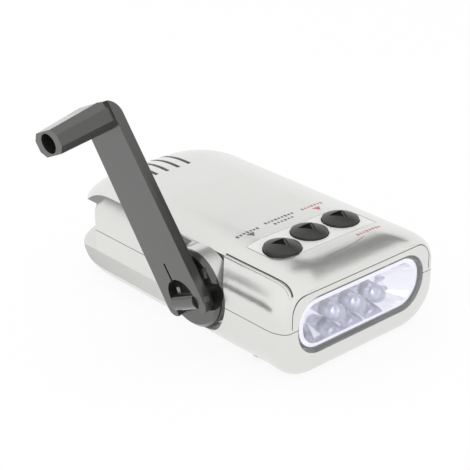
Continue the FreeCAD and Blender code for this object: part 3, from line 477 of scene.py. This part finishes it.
class Look(Enum):
    """Each finish on the flashlight, under the name of its slot."""

    CASE = SilverPaint("case_silver", (0.75, 0.75, 0.73), 0.24, 0.78, 0.25, drift=0.025, grain=0.03,
                       grain_scale=11000.0)
    CHARCOAL = Finish(**DARK_GLOSS)
    BUTTON = Finish("button_grey", (0.022, 0.024, 0.019), 0.40, coat=0.08, specular=0.5, grain=0.08,
                    grain_scale=6000.0)
    PLATE = Finish("plate_silver", (0.82, 0.82, 0.80), 0.45, 0.30, 0.1, drift=0.02, grain_scale=12000.0)
    # The lens's faint glow is painted light; the lens itself is no lamp.
    LENS = ClearMoulding("clear", (0.955, 0.955, 0.99), 0.02, drift=0.004, grain=0.004, grain_scale=500.0, glow=0.035)
    BRIGHT = Finish("bright", (0.90, 0.90, 0.93), 0.10, 1.0, drift=0.02, grain=0.01, grain_scale=400.0)
    LAMP = ClearMoulding("lamp_clear", (0.80, 0.80, 0.93), 0.05, drift=0.05, grain=0.01, grain_scale=900.0, glow=0.05,
                         clear=0.55)
    STEEL = Finish("steel", (0.56, 0.56, 0.57), 0.28, 1.0, stretch=(0.02, 1.0, 1.0), grain=0.10)
    ZINC = Finish("zinc", (0.62, 0.63, 0.65), 0.38, 1.0, stretch=(1.0, 0.05, 1.0), grain=0.10)
    BLACK_STEEL = Finish("black_steel", (0.05, 0.05, 0.055), 0.40, 0.9)
    BRONZE = Finish("bronze", (0.55, 0.36, 0.17), 0.45, 1.0, drift=0.15)
    NYLON = Finish("nylon", (0.82, 0.80, 0.73), 0.48, grain=0.05)
    COPPER = Finish("copper", (0.60, 0.26, 0.12), 0.30, 1.0, stretch=(12.0, 0.2, 0.2), grain=0.5, grain_scale=900.0)
    MAGNET = Finish("magnet", (0.09, 0.09, 0.10), 0.55, 0.5, drift=0.2, grain=0.2)
    BOARD = CoatedBoard("board_green", (0.02, 0.15, 0.06), 0.32, coat=0.4)
    CELL = Finish("cell_steel", (0.66, 0.66, 0.67), 0.25, 1.0, stretch=(1.0, 1.0, 0.03), grain=0.08)
    SLEEVE = Finish("sleeve_blue", (0.02, 0.06, 0.28), 0.30, coat=0.3)
    CAPACITOR = Finish("capacitor_black", (0.03, 0.03, 0.04), 0.30, coat=0.3)
    BLACK = Finish("black_plastic", (0.02, 0.02, 0.022), 0.50, grain=0.1, grain_scale=5000.0)


class Extra(Enum):
    """Finishes of the small things that only the looks add."""

    # The groove's near-black colour is painted shade: the shadow of the shoulder's step and of the gap round the
    # button plate.
    PAINTED_GROOVE_SHADE = Finish("case_silver", (0.055, 0.055, 0.050), 0.6)
    # The crease's grey is painted shade in the fine crease across the nose.
    CREASE = Finish("case_silver", (0.20, 0.20, 0.19), 0.6)
    HUB = HubMoulding(**DARK_GLOSS)
    INK = Finish("case_silver", (0.13, 0.13, 0.13), 0.55, drift=0.25, drift_scale=2600.0)
    RED_INK = Finish("case_silver", (0.50, 0.19, 0.18), 0.55, drift=0.25, drift_scale=2600.0)
    ARROW = Finish("button_grey", (0.008, 0.009, 0.007), 0.9, specular=0.05)
    CHIP = Finish("lamp_clear", (0.95, 0.93, 0.75), 0.5, glow=1.5)


class Palette:
    """Holds one built material for each finish."""

    def __init__(self) -> None:
        """Starts with none built."""
        self.built: dict[Enum, bpy.types.Material] = {}

    def of(self, look: Enum) -> bpy.types.Material:
        """The material of a finish, built when first asked for.

        Args:
            look: a member of Look or Extra.

        Returns:
            The material.
        """
        if look not in self.built:
            self.built[look] = look.value.material()
            self.built[look].name = look.name.lower()
        return self.built[look]

    def by_slot(self, slot: str) -> bpy.types.Material:
        """The material of a record's slot.

        Args:
            slot: the slot's name.

        Returns:
            The material.
        """
        return self.of(next(look for look in Look if look.value.slot == slot))


def link_mesh(name: str, mesh: bpy.types.Mesh, material: bpy.types.Material) -> bpy.types.Object:
    """Puts a finished mesh in the scene as a piece at the origin.

    Args:
        name: the piece's name.
        mesh: its mesh, in place.
        material: its only material.

    Returns:
        The piece.
    """
    mesh.materials.clear()
    mesh.materials.append(material)
    piece = bpy.data.objects.new(name, mesh)
    bpy.context.scene.collection.objects.link(piece)
    return piece


def settle(piece: bpy.types.Object, body: str) -> bpy.types.Object:
    """Makes a piece ride on a body and reports it.

    Args:
        piece: the piece.
        body: the body's name.

    Returns:
        The piece.
    """
    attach(piece, body)
    LOG.info("%s rides on %s, %d faces", piece.name, body, len(piece.data.polygons))
    return piece


def circle(sides: int) -> list[tuple[float, float]]:
    """Cosine and sine of evenly spaced angles round one turn.

    Args:
        sides: how many angles.

    Returns:
        The pairs.
    """
    angles = [2.0 * math.pi * turn / sides for turn in range(sides)]
    return [(math.cos(angle), math.sin(angle)) for angle in angles]


def band(first: int, second: int, sides: int) -> list[Sequence[int]]:
    """Faces between two rings of points.

    Args:
        first: number of the first ring's first point.
        second: number of the second ring's first point.
        sides: points in each ring.

    Returns:
        The faces.
    """
    return [(first + turn, first + (turn + 1) % sides, second + (turn + 1) % sides, second + turn)
            for turn in range(sides)]


def mesh_from(name: str, verts: Sequence[Vector], faces: Sequence[Sequence[int]],
              smooth: bool = True) -> bpy.types.Mesh:
    """A mesh from points and faces, its faces turned outwards.

    Args:
        name: the mesh's name.
        verts: the points.
        faces: point numbers of each face.
        smooth: whether the faces shade smoothly.

    Returns:
        The mesh.
    """
    mesh = bpy.data.meshes.new(name)
    mesh.from_pydata([tuple(point) for point in verts], [], [tuple(face) for face in faces])
    work = bmesh.new()
    work.from_mesh(mesh)
    bmesh.ops.recalc_face_normals(work, faces=work.faces)
    for face in work.faces:
        face.smooth = smooth
    work.to_mesh(mesh)
    work.free()
    return mesh


def tube(name: str, path: Sequence[Vector], radius: float, sides: int = 8, closed: bool = False) -> bpy.types.Mesh:
    """A round tube along a path, with flat ends where it is open.

    Args:
        name: the mesh's name.
        path: points of its middle line.
        radius: its radius.
        sides: faces round it.
        closed: whether it runs back to its start.

    Returns:
        The mesh.
    """
    count = len(path)
    verts: list[Vector] = []
    side = Vector((0.0, 0.0, 1.0))
    for index, point in enumerate(path):
        before = path[index - 1] if closed or index else path[0]
        after = path[(index + 1) % count] if closed or index < count - 1 else path[-1]
        along = (after - before).normalized()
        side = (side - along * side.dot(along)).normalized()
        across = along.cross(side)
        verts += [point + (side * cos + across * sin) * radius for cos, sin in circle(sides)]
    faces: list[Sequence[int]] = []
    for ring in range(count if closed else count - 1):
        faces += band(ring * sides, (ring + 1) % count * sides, sides)
    if not closed:
        faces.append(tuple(range(sides)))
        faces.append(tuple((count - 1) * sides + turn for turn in range(sides)))
    return mesh_from(name, verts, faces)


def arc(centre: tuple[float, float], radius: float, start: float, end: float,
        steps: int) -> list[tuple[float, float]]:
    """Points along part of a circle.

    Args:
        centre: its middle.
        radius: its radius.
        start: first angle in degrees.
        end: last angle in degrees.
        steps: how many spans.

    Returns:
        The points.
    """
    points = []
    for index in range(steps + 1):
        angle = math.radians(start + (end - start) * index / steps)
        points.append((centre[0] + radius * math.cos(angle), centre[1] + radius * math.sin(angle)))
    return points


class Case:
    """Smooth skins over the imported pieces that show, and a way to lay things on the roof."""

    def __init__(self, frame: dict, palette: Palette) -> None:
        """Keeps the frame and the finishes.

        Args:
            frame: what the frame's loading gave.
            palette: the finishes.
        """
        self.frame = frame
        self.palette = palette
        self.slots = {part["node"]: part["material_slot"] for part in frame["record"]["subparts"]}
        self.roof: BVHTree | None = None

    def merged(self, node: str) -> bmesh.types.BMesh:
        """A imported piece's mesh with its loose triangles joined.

        Args:
            node: the piece's node.

        Returns:
            The joined mesh.
        """
        work = bmesh.new()
        work.from_mesh(self.frame["nodes"][node].data)
        bmesh.ops.remove_doubles(work, verts=work.verts, dist=WELD)
        return work

    def skin(self, node: str, sharp: float = 28.0, bevel: float = 0.0, look: Enum | None = None,
             shade: bool = True) -> bpy.types.Object:
        """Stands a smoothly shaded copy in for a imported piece.

        Args:
            node: the piece's node.
            sharp: edges that turn more than this many degrees stay crisp.
            bevel: how wide the crisp edges are rounded, or 0.
            look: a finish other than the slot's own.
            shade: whether it throws a shadow.

        Returns:
            The piece.
        """
        work = self.merged(node)
        if bevel:
            bmesh.ops.dissolve_limit(work, angle_limit=math.radians(FLAT_DEGREES), verts=work.verts,
                                     edges=work.edges)
        for edge in work.edges:
            edge.smooth = not (edge.is_manifold and edge.calc_face_angle() > math.radians(sharp))
        for face in work.faces:
            face.smooth = True
        mesh = bpy.data.meshes.new(node + "_skin")
        work.to_mesh(mesh)
        work.free()
        slot = self.slots[node]
        piece = link_mesh(node + "_skin", mesh, self.palette.of(look) if look else self.palette.by_slot(slot))
        piece.visible_shadow = shade
        if bevel:
            rounding = piece.modifiers.new("rounding", "BEVEL")
            rounding.width = bevel
            rounding.segments = ROUNDING_SEGMENTS
            rounding.limit_method = "ANGLE"
            rounding.angle_limit = math.radians(sharp)
        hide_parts(node)
        body = self.frame["nodes"][node]["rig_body"]
        return settle(piece, body)

    def dress(self, shown: dict[str, dict]) -> None:
        """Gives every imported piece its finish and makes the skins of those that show.

        Args:
            shown: node to the skin's settings.
        """
        for node, thing in self.frame["nodes"].items():
            thing.data.materials.clear()
            thing.data.materials.append(self.palette.by_slot(self.slots[node]))
        for node, settings in shown.items():
            self.skin(node, **settings)
        work = self.merged("upper_shell")
        self.roof = BVHTree.FromBMesh(work)
        work.free()

    def on_roof(self, x: float, y: float, lift: float = 0.0) -> Vector:
        """The point on the case's top straight under a place.

        Args:
            x: place to the right.
            y: place to the rear.
            lift: how far above the surface.

        Returns:
            The point.
        """
        hit, normal, _, _ = self.roof.ray_cast(Vector((x, y, RAY_HEIGHT)), DOWN)
        if hit is None:
            return Vector((x, y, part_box("upper_shell")[1].z + lift))
        return hit + normal * lift


@dataclass
class Trim:
    """Painted shade lines along the shoulder's step, across the nose's crease and round the button plate, and the
    bead of the case; the hook's and the crease's points are in millimetres.
    """

    case: Case
    sink: float = 0.02 * MM
    groove_radius: float = 0.221 * MM
    groove_aside: float = 0.72 * MM
    groove_x: float = -24.1 * MM
    groove_rear: float = -20.4 * MM
    groove_front: float = -41.8 * MM
    groove_spans: int = 24
    groove_hook: tuple = ((-24.2, -43.4), (-24.5, -45.0), (-24.95, -46.2), (-25.4, -47.0))
    bead_radius: float = 0.55 * MM
    bead_sides: int = 12
    crease_radius: float = 0.104 * MM
    crease: tuple = ((-7.6, -42.4), (-2.5, -42.0), (2.8, -41.6), (6.0, -41.0), (8.5, -40.4))
    outline_radius: float = 0.0975 * MM
    outline_gap: float = 0.078 * MM
    outline_reach: float = 1.012
    plate_corner: float = 6.2 * MM
    corner_steps: int = 10

    def build(self) -> None:
        """Makes every painted shade line and the bead beside the shoulder's groove."""
        for name, make, look in (("shoulder_groove_shade", self.shoulder_groove_shade, Extra.PAINTED_GROOVE_SHADE),
                                 ("nose_crease_shade", self.nose_crease_shade, Extra.CREASE),
                                 ("plate_outline", self.plate_outline, Extra.PAINTED_GROOVE_SHADE),
                                 ("shoulder_bead", self.shoulder_bead, Look.CASE)):
            settle(link_mesh(name, make(), self.case.palette.of(look)), "root")

    def shoulder_path(self, aside: float, lift: float) -> list[Vector]:
        """Points along the shoulder in front of the crank.

        Args:
            aside: distance from the groove's line, to the right.
            lift: height above the surface.

        Returns:
            The points.
        """
        run = self.groove_front - self.groove_rear
        flat = [(self.groove_x, self.groove_rear + run * step / self.groove_spans)
                for step in range(self.groove_spans + 1)]
        flat += [(x * MM, y * MM) for x, y in self.groove_hook]
        return [self.case.on_roof(x + aside, y, lift) for x, y in flat]

    def shoulder_groove_shade(self) -> bpy.types.Mesh:
        """Dark line of painted shade where the shoulder steps."""
        return tube("shoulder_groove_shade", self.shoulder_path(self.groove_aside, -self.sink), self.groove_radius)

    def shoulder_bead(self) -> bpy.types.Mesh:
        """Raised lip below the dark line."""
        path = self.shoulder_path(0.0, -self.bead_radius / 2.0)
        return tube("shoulder_bead", path, self.bead_radius, self.bead_sides)

    def nose_crease_shade(self) -> bpy.types.Mesh:
        """Dark line of painted shade along the fine crease across the nose's roof."""
        path = [self.case.on_roof(x * MM, y * MM, -self.sink) for x, y in self.crease]
        return tube("nose_crease_shade", path, self.crease_radius)

    def plate_outline(self) -> bpy.types.Mesh:
        """Shadow gap round the button plate."""
        low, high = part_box("button_plate")
        corner, edge, steps = self.plate_corner, self.outline_gap, self.corner_steps
        points = arc((low.x + corner, low.y + corner), corner + edge, 180.0, 270.0, steps)
        points += self.straight((low.x + corner, low.y - edge), (high.x + edge, low.y - edge))
        points += self.straight((high.x + edge, low.y - edge), (high.x + edge, high.y - corner))
        points += arc((high.x - corner, high.y - corner), corner + edge, 0.0, 90.0, steps)
        points += self.straight((high.x - corner, high.y + edge), (low.x - edge, high.y + edge))
        points += self.straight((low.x - edge, high.y + edge), (low.x - edge, low.y + corner))
        path = [Vector((x, y, self.case.on_roof(x * self.outline_reach, y).z)) for x, y in points]
        return tube("plate_outline", path, self.outline_radius, closed=True)

    @staticmethod
    def straight(start: tuple, end: tuple, spans: int = 12) -> list[tuple[float, float]]:
        """Points between two corners, without them.

        Args:
            start: first corner.
            end: last corner.
            spans: how many parts.

        Returns:
            The points.
        """
        return [(start[0] + (end[0] - start[0]) * step / spans, start[1] + (end[1] - start[1]) * step / spans)
                for step in range(1, spans)]


@dataclass
class Row:
    """One row of printed ticks on the roof, in millimetres."""

    name: str
    start: tuple[float, float]
    count: int
    pitch: float
    width: float
    length: float
    look: Extra


@dataclass
class Marks:
    """Rows of ticks and arrowheads printed on the roof, and the buttons' arrows; corners in millimetres."""

    case: Case
    lift: float = 0.012 * MM
    rows: tuple = (
        Row("ticks_left", (-16.9, -17.6), 7, 1.22, 0.72, 1.2, Extra.INK),
        Row("ticks_middle", (-5.8, -16.9), 9, 1.25, 0.74, 1.15, Extra.INK),
        Row("ticks_middle_low", (-4.0, -18.8), 6, 1.3, 0.78, 1.0, Extra.INK),
        Row("ticks_right", (8.1, -17.1), 7, 1.22, 0.70, 1.1, Extra.RED_INK),
        Row("ticks_front", (7.8, -38.8), 8, 1.18, 0.70, 1.1, Extra.RED_INK))
    heads: tuple = (("head_left", (-13.2, -19.5), Extra.INK), ("head_right", (11.8, -19.6), Extra.RED_INK))
    head: tuple = ((-1.45, 1.015), (1.45, 1.015), (0.0, -1.015))
    arrow: tuple = ((-2.25, 2.3), (2.25, 2.3), (0.0, -1.5))
    patch_rows: int = 6
    tick_group: float = 3.0
    short_tick: float = 0.72

    def build(self) -> None:
        """Makes the rows with one node tree, then the arrowheads and the buttons' arrows."""
        group = self.tree()
        for row in self.rows:
            settle(self.laid(self.row_piece(row, group)), "root")
        for name, (x, y), look in self.heads:
            mesh = self.patch(name, self.head, Vector((x * MM, y * MM)), self.case.roof)
            settle(link_mesh(name, mesh, self.case.palette.of(look)), "root")
        for side in SIDES:
            settle(self.button_arrow(side), side + "_button")

    def button_arrow(self, side: str) -> bpy.types.Object:
        """The dark floor of the arrow sunk into a button's crown.

        Args:
            side: which button.

        Returns:
            The piece.
        """
        low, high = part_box("button_" + side)
        work = self.case.merged("button_" + side)
        crown = BVHTree.FromBMesh(work)
        work.free()
        mesh = self.patch("arrow_" + side, self.arrow, (low + high) / 2.0, crown)
        return link_mesh("arrow_" + side, mesh, self.case.palette.of(Extra.ARROW))

    def patch(self, name: str, outline: Sequence[tuple[float, float]], middle: Vector,
              under: BVHTree) -> bpy.types.Mesh:
        """A thin triangle that follows the surface under it.

        Args:
            name: the mesh's name.
            outline: its three corners round its middle, in millimetres, seen from above.
            middle: where it lies, in metres.
            under: the surface.

        Returns:
            The mesh.
        """
        first, second, tip = (Vector((middle.x + x * MM, middle.y + y * MM)) for x, y in outline)
        points: list[Vector] = []
        faces: list[tuple[int, int, int]] = []
        start = 0
        for row in range(self.patch_rows + 1):
            share = row / self.patch_rows
            left, right = first.lerp(tip, share), second.lerp(tip, share)
            count = self.patch_rows + 1 - row
            for step in range(count):
                place = left.lerp(right, step / max(1, count - 1))
                hit = under.ray_cast(Vector((place.x, place.y, RAY_HEIGHT)), DOWN)[0]
                points.append(hit + Vector((0.0, 0.0, self.lift)))
            for step in range(count - 1):
                faces.append((start + step, start + step + 1, start + count + step))
                if step < count - 2:
                    faces.append((start + step + 1, start + count + step + 1, start + count + step))
            start += count
        return mesh_from(name, points, faces, smooth=False)

    def tree(self) -> bpy.types.NodeTree:
        """The node tree that lays out a row of ticks, the first of each group taller.

        Returns:
            The tree.
        """
        group = bpy.data.node_groups.new("tick_row", "GeometryNodeTree")
        graph = Graph(group)
        for name, kind in (("Count", "NodeSocketInt"), ("Pitch", "NodeSocketFloat"), ("Width", "NodeSocketFloat"),
                           ("Length", "NodeSocketFloat"), ("Material", "NodeSocketMaterial")):
            group.interface.new_socket(name, in_out="INPUT", socket_type=kind)
        group.interface.new_socket("Geometry", in_out="OUTPUT", socket_type="NodeSocketGeometry")
        source = group.nodes.new("NodeGroupInput")
        given = {output.name: Link(graph, output) for output in source.outputs if output.name}
        step = graph.add("ShaderNodeCombineXYZ", {}, {"X": given["Pitch"]})
        line = graph.add("GeometryNodeMeshLine", {}, {"Count": given["Count"], "Offset": step})
        tick = graph.add("GeometryNodeMeshGrid", {}, {"Size X": given["Width"], "Size Y": given["Length"],
                                                      "Vertices X": 2, "Vertices Y": 3})
        index = graph.add("GeometryNodeInputIndex")
        turn = graph.add("ShaderNodeMath", {"operation": "MODULO"}, {0: index, 1: self.tick_group})
        tall = self.short_tick + turn.below(0.5) * (1.0 - self.short_tick)
        size = graph.add("ShaderNodeCombineXYZ", {}, {"X": 1.0, "Y": tall, "Z": 1.0})
        placed = graph.add("GeometryNodeInstanceOnPoints", {}, {"Points": line, "Instance": tick, "Scale": size})
        real = graph.add("GeometryNodeRealizeInstances", {}, {0: placed})
        inked = graph.add("GeometryNodeSetMaterial", {}, {"Geometry": real, "Material": given["Material"]})
        graph.add("NodeGroupOutput", {}, {0: inked})
        return group

    def row_piece(self, row: Row, group: bpy.types.NodeTree) -> bpy.types.Object:
        """A row of ticks as a plain mesh, at its place over the roof.

        Args:
            row: the row's sizes, in millimetres.
            group: the tree that lays out a row.

        Returns:
            The piece.
        """
        material = self.case.palette.of(row.look)
        holder = bpy.data.objects.new(row.name + "_holder", bpy.data.meshes.new(row.name + "_holder"))
        bpy.context.scene.collection.objects.link(holder)
        modifier = holder.modifiers.new("ticks", "NODES")
        modifier.node_group = group
        values = {"Count": row.count, "Pitch": row.pitch * MM, "Width": row.width * MM, "Length": row.length * MM,
                  "Material": material}
        for item in group.interface.items_tree:
            if item.in_out == "INPUT":
                modifier[item.identifier] = values[item.name]
        bpy.context.view_layer.update()
        solid = holder.evaluated_get(bpy.context.evaluated_depsgraph_get())
        mesh = bpy.data.meshes.new_from_object(solid)
        holder.modifiers.clear()
        bpy.data.objects.remove(holder)
        mesh.transform(Matrix.Translation((row.start[0] * MM, row.start[1] * MM, 0.0)))
        return link_mesh(row.name, mesh, material)

    def laid(self, piece: bpy.types.Object) -> bpy.types.Object:
        """Drops a flat piece onto the roof.

        Args:
            piece: the piece, flat over the roof.

        Returns:
            The piece.
        """
        for vertex in piece.data.vertices:
            vertex.co = self.case.on_roof(vertex.co.x, vertex.co.y, self.lift)
        piece.data.update()
        return piece


@dataclass
class LampCores:
    """What shows inside each clear lamp: two leads, one reaching further forward, the cup and the lit chip."""

    case: Case
    lead: float = 0.25 * MM
    lead_ahead: float = 0.3 * MM
    lead_inset: float = 0.1 * MM
    spread: float = 0.65 * MM
    chip_radius: float = 0.42 * MM
    chip_seat: float = 0.55
    cup_radius: float = 1.0 * MM
    cup_depth: float = 0.7 * MM
    cup_setback: float = 3.4 * MM
    cup_profile: tuple = ((1.0, 0.0), (0.82, 0.0), (0.5, 0.8), (0.01, 0.8), (0.01, 1.0), (1.0, 1.0))

    def build(self) -> None:
        """Makes the three lamps' insides as two pieces."""
        metal: list[Shape] = []
        chips: list[Shape] = []
        for place in SIDES:
            low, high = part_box("led_" + place)
            x, z = (low.x + high.x) / 2.0, (low.z + high.z) / 2.0
            front = low.y + self.cup_setback
            metal.append(self.cup(x, front, z))
            for side, start in ((-1.0, front + self.cup_depth), (1.0, front - self.lead_ahead)):
                metal.append(self.bar(x + side * self.spread, z, start, high.y - self.lead_inset))
            chips.append(self.ball(Vector((x, front + self.cup_depth * self.chip_seat, z)), self.chip_radius))
        for name, parts, look in (("lamp_leads", metal, Look.BRIGHT), ("lamp_chips", chips, Extra.CHIP)):
            verts: list[Vector] = []
            faces: list[Sequence[int]] = []
            for points, own in parts:
                faces += [tuple(index + len(verts) for index in face) for face in own]
                verts += points
            piece = link_mesh(name, mesh_from(name, verts, faces), self.case.palette.of(look))
            piece.visible_shadow = False
            settle(piece, "root")

    def cup(self, x: float, front: float, z: float, sides: int = 20) -> Shape:
        """A small open cup that faces forward, turned about the lamp's axis.

        Args:
            x: its middle to the right.
            front: its rim.
            z: its middle's height.
            sides: faces round it.

        Returns:
            Its points and faces.
        """
        centre = Vector((x, front, z))
        verts: list[Vector] = []
        for out, back in self.cup_profile:
            radius, depth = self.cup_radius * out, self.cup_depth * back
            verts += [centre + Vector((radius * cos, depth, radius * sin)) for cos, sin in circle(sides)]
        rings = len(self.cup_profile)
        faces: list[Sequence[int]] = []
        for ring in range(rings):
            faces += band(ring * sides, (ring + 1) % rings * sides, sides)
        return verts, faces

    def bar(self, x: float, z: float, start: float, end: float) -> Shape:
        """A square lead along the lamp.

        Args:
            x: its middle to the right.
            z: its middle's height.
            start: its front end.
            end: its rear end.

        Returns:
            Its points and faces.
        """
        half = self.lead / 2.0
        verts = [Vector((x + dx * half, y, z + dz * half)) for y in (start, end) for dx, dz in SQUARE]
        return verts, [(0, 1, 2, 3), (4, 5, 6, 7), *band(0, 4, 4)]

    @staticmethod
    def ball(centre: Vector, radius: float, rings: int = 8, sides: int = 12) -> Shape:
        """A small closed ball.

        Args:
            centre: its middle.
            radius: its radius.
            rings: bands from pole to pole.
            sides: faces round it.

        Returns:
            Its points and faces.
        """
        pole = Vector((0.0, 0.0, radius))
        verts = [centre + pole]
        for ring in range(1, rings):
            polar = math.pi * ring / rings
            flat, tall = math.sin(polar), math.cos(polar)
            verts += [centre + radius * Vector((flat * cos, flat * sin, tall)) for cos, sin in circle(sides)]
        verts.append(centre - pole)
        last, start = len(verts) - 1, 1 + (rings - 2) * sides
        faces: list[Sequence[int]] = [(0, 1 + turn, 1 + (turn + 1) % sides) for turn in range(sides)]
        for ring in range(rings - 2):
            faces += band(1 + (ring + 1) * sides, 1 + ring * sides, sides)
        faces += [(last, start + (turn + 1) % sides, start + turn) for turn in range(sides)]
        return verts, faces


@dataclass
class Studio:
    """Plain pale floor, soft lights, three dark cards that only gloss sees, and the camera."""

    camera_at: Point = (-0.2547, -0.2784, 0.2004)
    camera_azimuth: float = 42.25
    camera_drop: float = 25.78
    lens: float = 111.4
    sensor_width: float = 36.0
    clip_start: float = 10.0 * MM
    floor_half: float = 3.0
    floor_drop: float = 0.02 * MM
    floor_colour: Colour = (0.93, 0.93, 0.93)
    floor_white: float = 0.88
    card_colour: Colour = (0.01, 0.01, 0.01)
    sky: float = 0.80
    lights: tuple = (("top_light", (-0.15, 0.10, 0.80), 1.2, 2.3), ("left_light", (-0.8, -0.15, 0.35), 0.8, 1.6),
                     ("front_light", (0.1, -0.9, 0.25), 0.6, 1.0))
    cards: tuple = (("nose_card", (0.494, 0.230, 0.585), (0.60, 0.27)),
                    ("low_card", (0.47, -0.58, 0.18), (0.50, 0.22)),
                    ("rear_card", (-0.56, 0.545, 0.18), (0.75, 0.24)))
    middle: Point = (0.0, 0.0, 15.0 * MM)

    def build(self) -> None:
        """Sets up floor, world, lights, cards and camera."""
        self.floor()
        self.world()
        for name, at, size, power in self.lights:
            self.light(name, Vector(at), size, power)
        for name, at, size in self.cards:
            self.card(name, Vector(at), size)
        self.camera()
        bpy.context.scene.view_settings.view_transform = "Standard"

    @staticmethod
    def seen(graph: Graph) -> Link:
        """One for rays that show the background: from the camera, off gloss or through glass.

        Args:
            graph: the tree.

        Returns:
            The mask.
        """
        path = graph.tree.nodes.new("ShaderNodeLightPath")
        total = Link(graph, path.outputs["Is Camera Ray"]) + Link(graph, path.outputs["Is Glossy Ray"])
        return (total + Link(graph, path.outputs["Is Transmission Ray"])).capped()

    def floor(self) -> None:
        """A pale floor that keeps the object's shadow."""
        half = self.floor_half
        outline = [Vector((x * half, y * half, -self.floor_drop)) for x, y in SQUARE]
        made, graph = blank("floor")
        matt = graph.add("ShaderNodeBsdfDiffuse", {}, {"Color": (*self.floor_colour, 1.0)})
        white = graph.add("ShaderNodeEmission", {}, {"Color": (1.0, 1.0, 1.0, 1.0), "Strength": 1.0})
        share = self.seen(graph) * self.floor_white
        both = graph.add("ShaderNodeMixShader", {}, {0: share, 1: matt, 2: white})
        graph.add("ShaderNodeOutputMaterial", {}, {"Surface": both})
        piece = link_mesh("floor", mesh_from("floor", outline, [(0, 1, 2, 3)], smooth=False), made)

    def world(self) -> None:
        """White where it is seen, softer where it lights."""
        made = bpy.data.worlds.new("studio")
        made.use_nodes = True
        bpy.context.scene.world = made
        graph = Graph(made.node_tree)
        strength = self.sky + self.seen(graph) * (1.0 - self.sky)
        shade = graph.add("ShaderNodeBackground", {}, {"Color": (1.0, 1.0, 1.0, 1.0), "Strength": strength})
        graph.add("ShaderNodeOutputWorld", {}, {"Surface": shade})

    def aimed(self, thing: bpy.types.Object, at: Vector) -> None:
        """Places something and turns its front to the flashlight.

        Args:
            thing: a light or card.
            at: where it stands.
        """
        thing.location = at
        thing.rotation_euler = (Vector(self.middle) - at).to_track_quat("-Z", "Y").to_euler()

    def light(self, name: str, at: Vector, size: float, power: float) -> None:
        """One soft light.

        Args:
            name: its name.
            at: where it stands.
            size: how wide it is.
            power: its power in watts.
        """
        lamp = bpy.data.lights.new(name, "AREA")
        lamp.shape = "SQUARE"
        lamp.size = size
        lamp.energy = power
        thing = bpy.data.objects.new(name, lamp)
        thing.visible_glossy = False
        bpy.context.scene.collection.objects.link(thing)
        self.aimed(thing, at)

    def card(self, name: str, at: Vector, size: tuple[float, float]) -> None:
        """A dark card that only gloss sees.

        Args:
            name: its name.
            at: where it stands.
            size: its width and height.
        """
        wide, tall = size[0] / 2.0, size[1] / 2.0
        outline = [Vector((x * wide, y * tall, 0.0)) for x, y in SQUARE]
        made, graph = blank(name)
        shade = graph.add("ShaderNodeBsdfDiffuse", {}, {"Color": (*self.card_colour, 1.0)})
        graph.add("ShaderNodeOutputMaterial", {}, {"Surface": shade})
        piece = link_mesh(name, mesh_from(name, outline, [(0, 1, 2, 3)], smooth=False), made)
        self.aimed(piece, at)
        piece.visible_camera = False
        piece.visible_diffuse = False
        piece.visible_transmission = False
        piece.visible_shadow = False

    def camera(self) -> None:
        """The camera at the photograph's place."""
        data = bpy.data.cameras.new("camera")
        data.lens = self.lens
        data.sensor_width = self.sensor_width
        data.clip_start = self.clip_start
        thing = bpy.data.objects.new("camera", data)
        bpy.context.scene.collection.objects.link(thing)
        azimuth, drop = math.radians(self.camera_azimuth), math.radians(self.camera_drop)
        ahead = Vector((math.sin(azimuth) * math.cos(drop), math.cos(azimuth) * math.cos(drop), -math.sin(drop)))
        thing.location = self.camera_at
        thing.rotation_euler = ahead.to_track_quat("-Z", "Y").to_euler()
        bpy.context.scene.camera = thing


SHOWN = {"upper_shell": {}, "lower_shell": {}, "lens": {"shade": False}, "reflector": {}, "button_plate": {},
         **{"led_" + side: {"shade": False} for side in SIDES},
         **{"button_" + side: {"bevel": 0.25 * MM} for side in SIDES},
         "crank_disc": {"look": Extra.HUB}, "crank_arm": {"bevel": 0.3 * MM}, "hinge_pin": {}}


def main() -> None:
    """Loads the frame and builds each class in order."""
    logging.basicConfig(level=logging.INFO, format="%(name)s: %(message)s")
    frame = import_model()
    case = Case(frame, Palette())
    case.dress(SHOWN)
    Trim(case).build()
    Marks(case).build()
    LampCores(case).build()
    Studio().build()


if __name__ == "__main__":
    main()
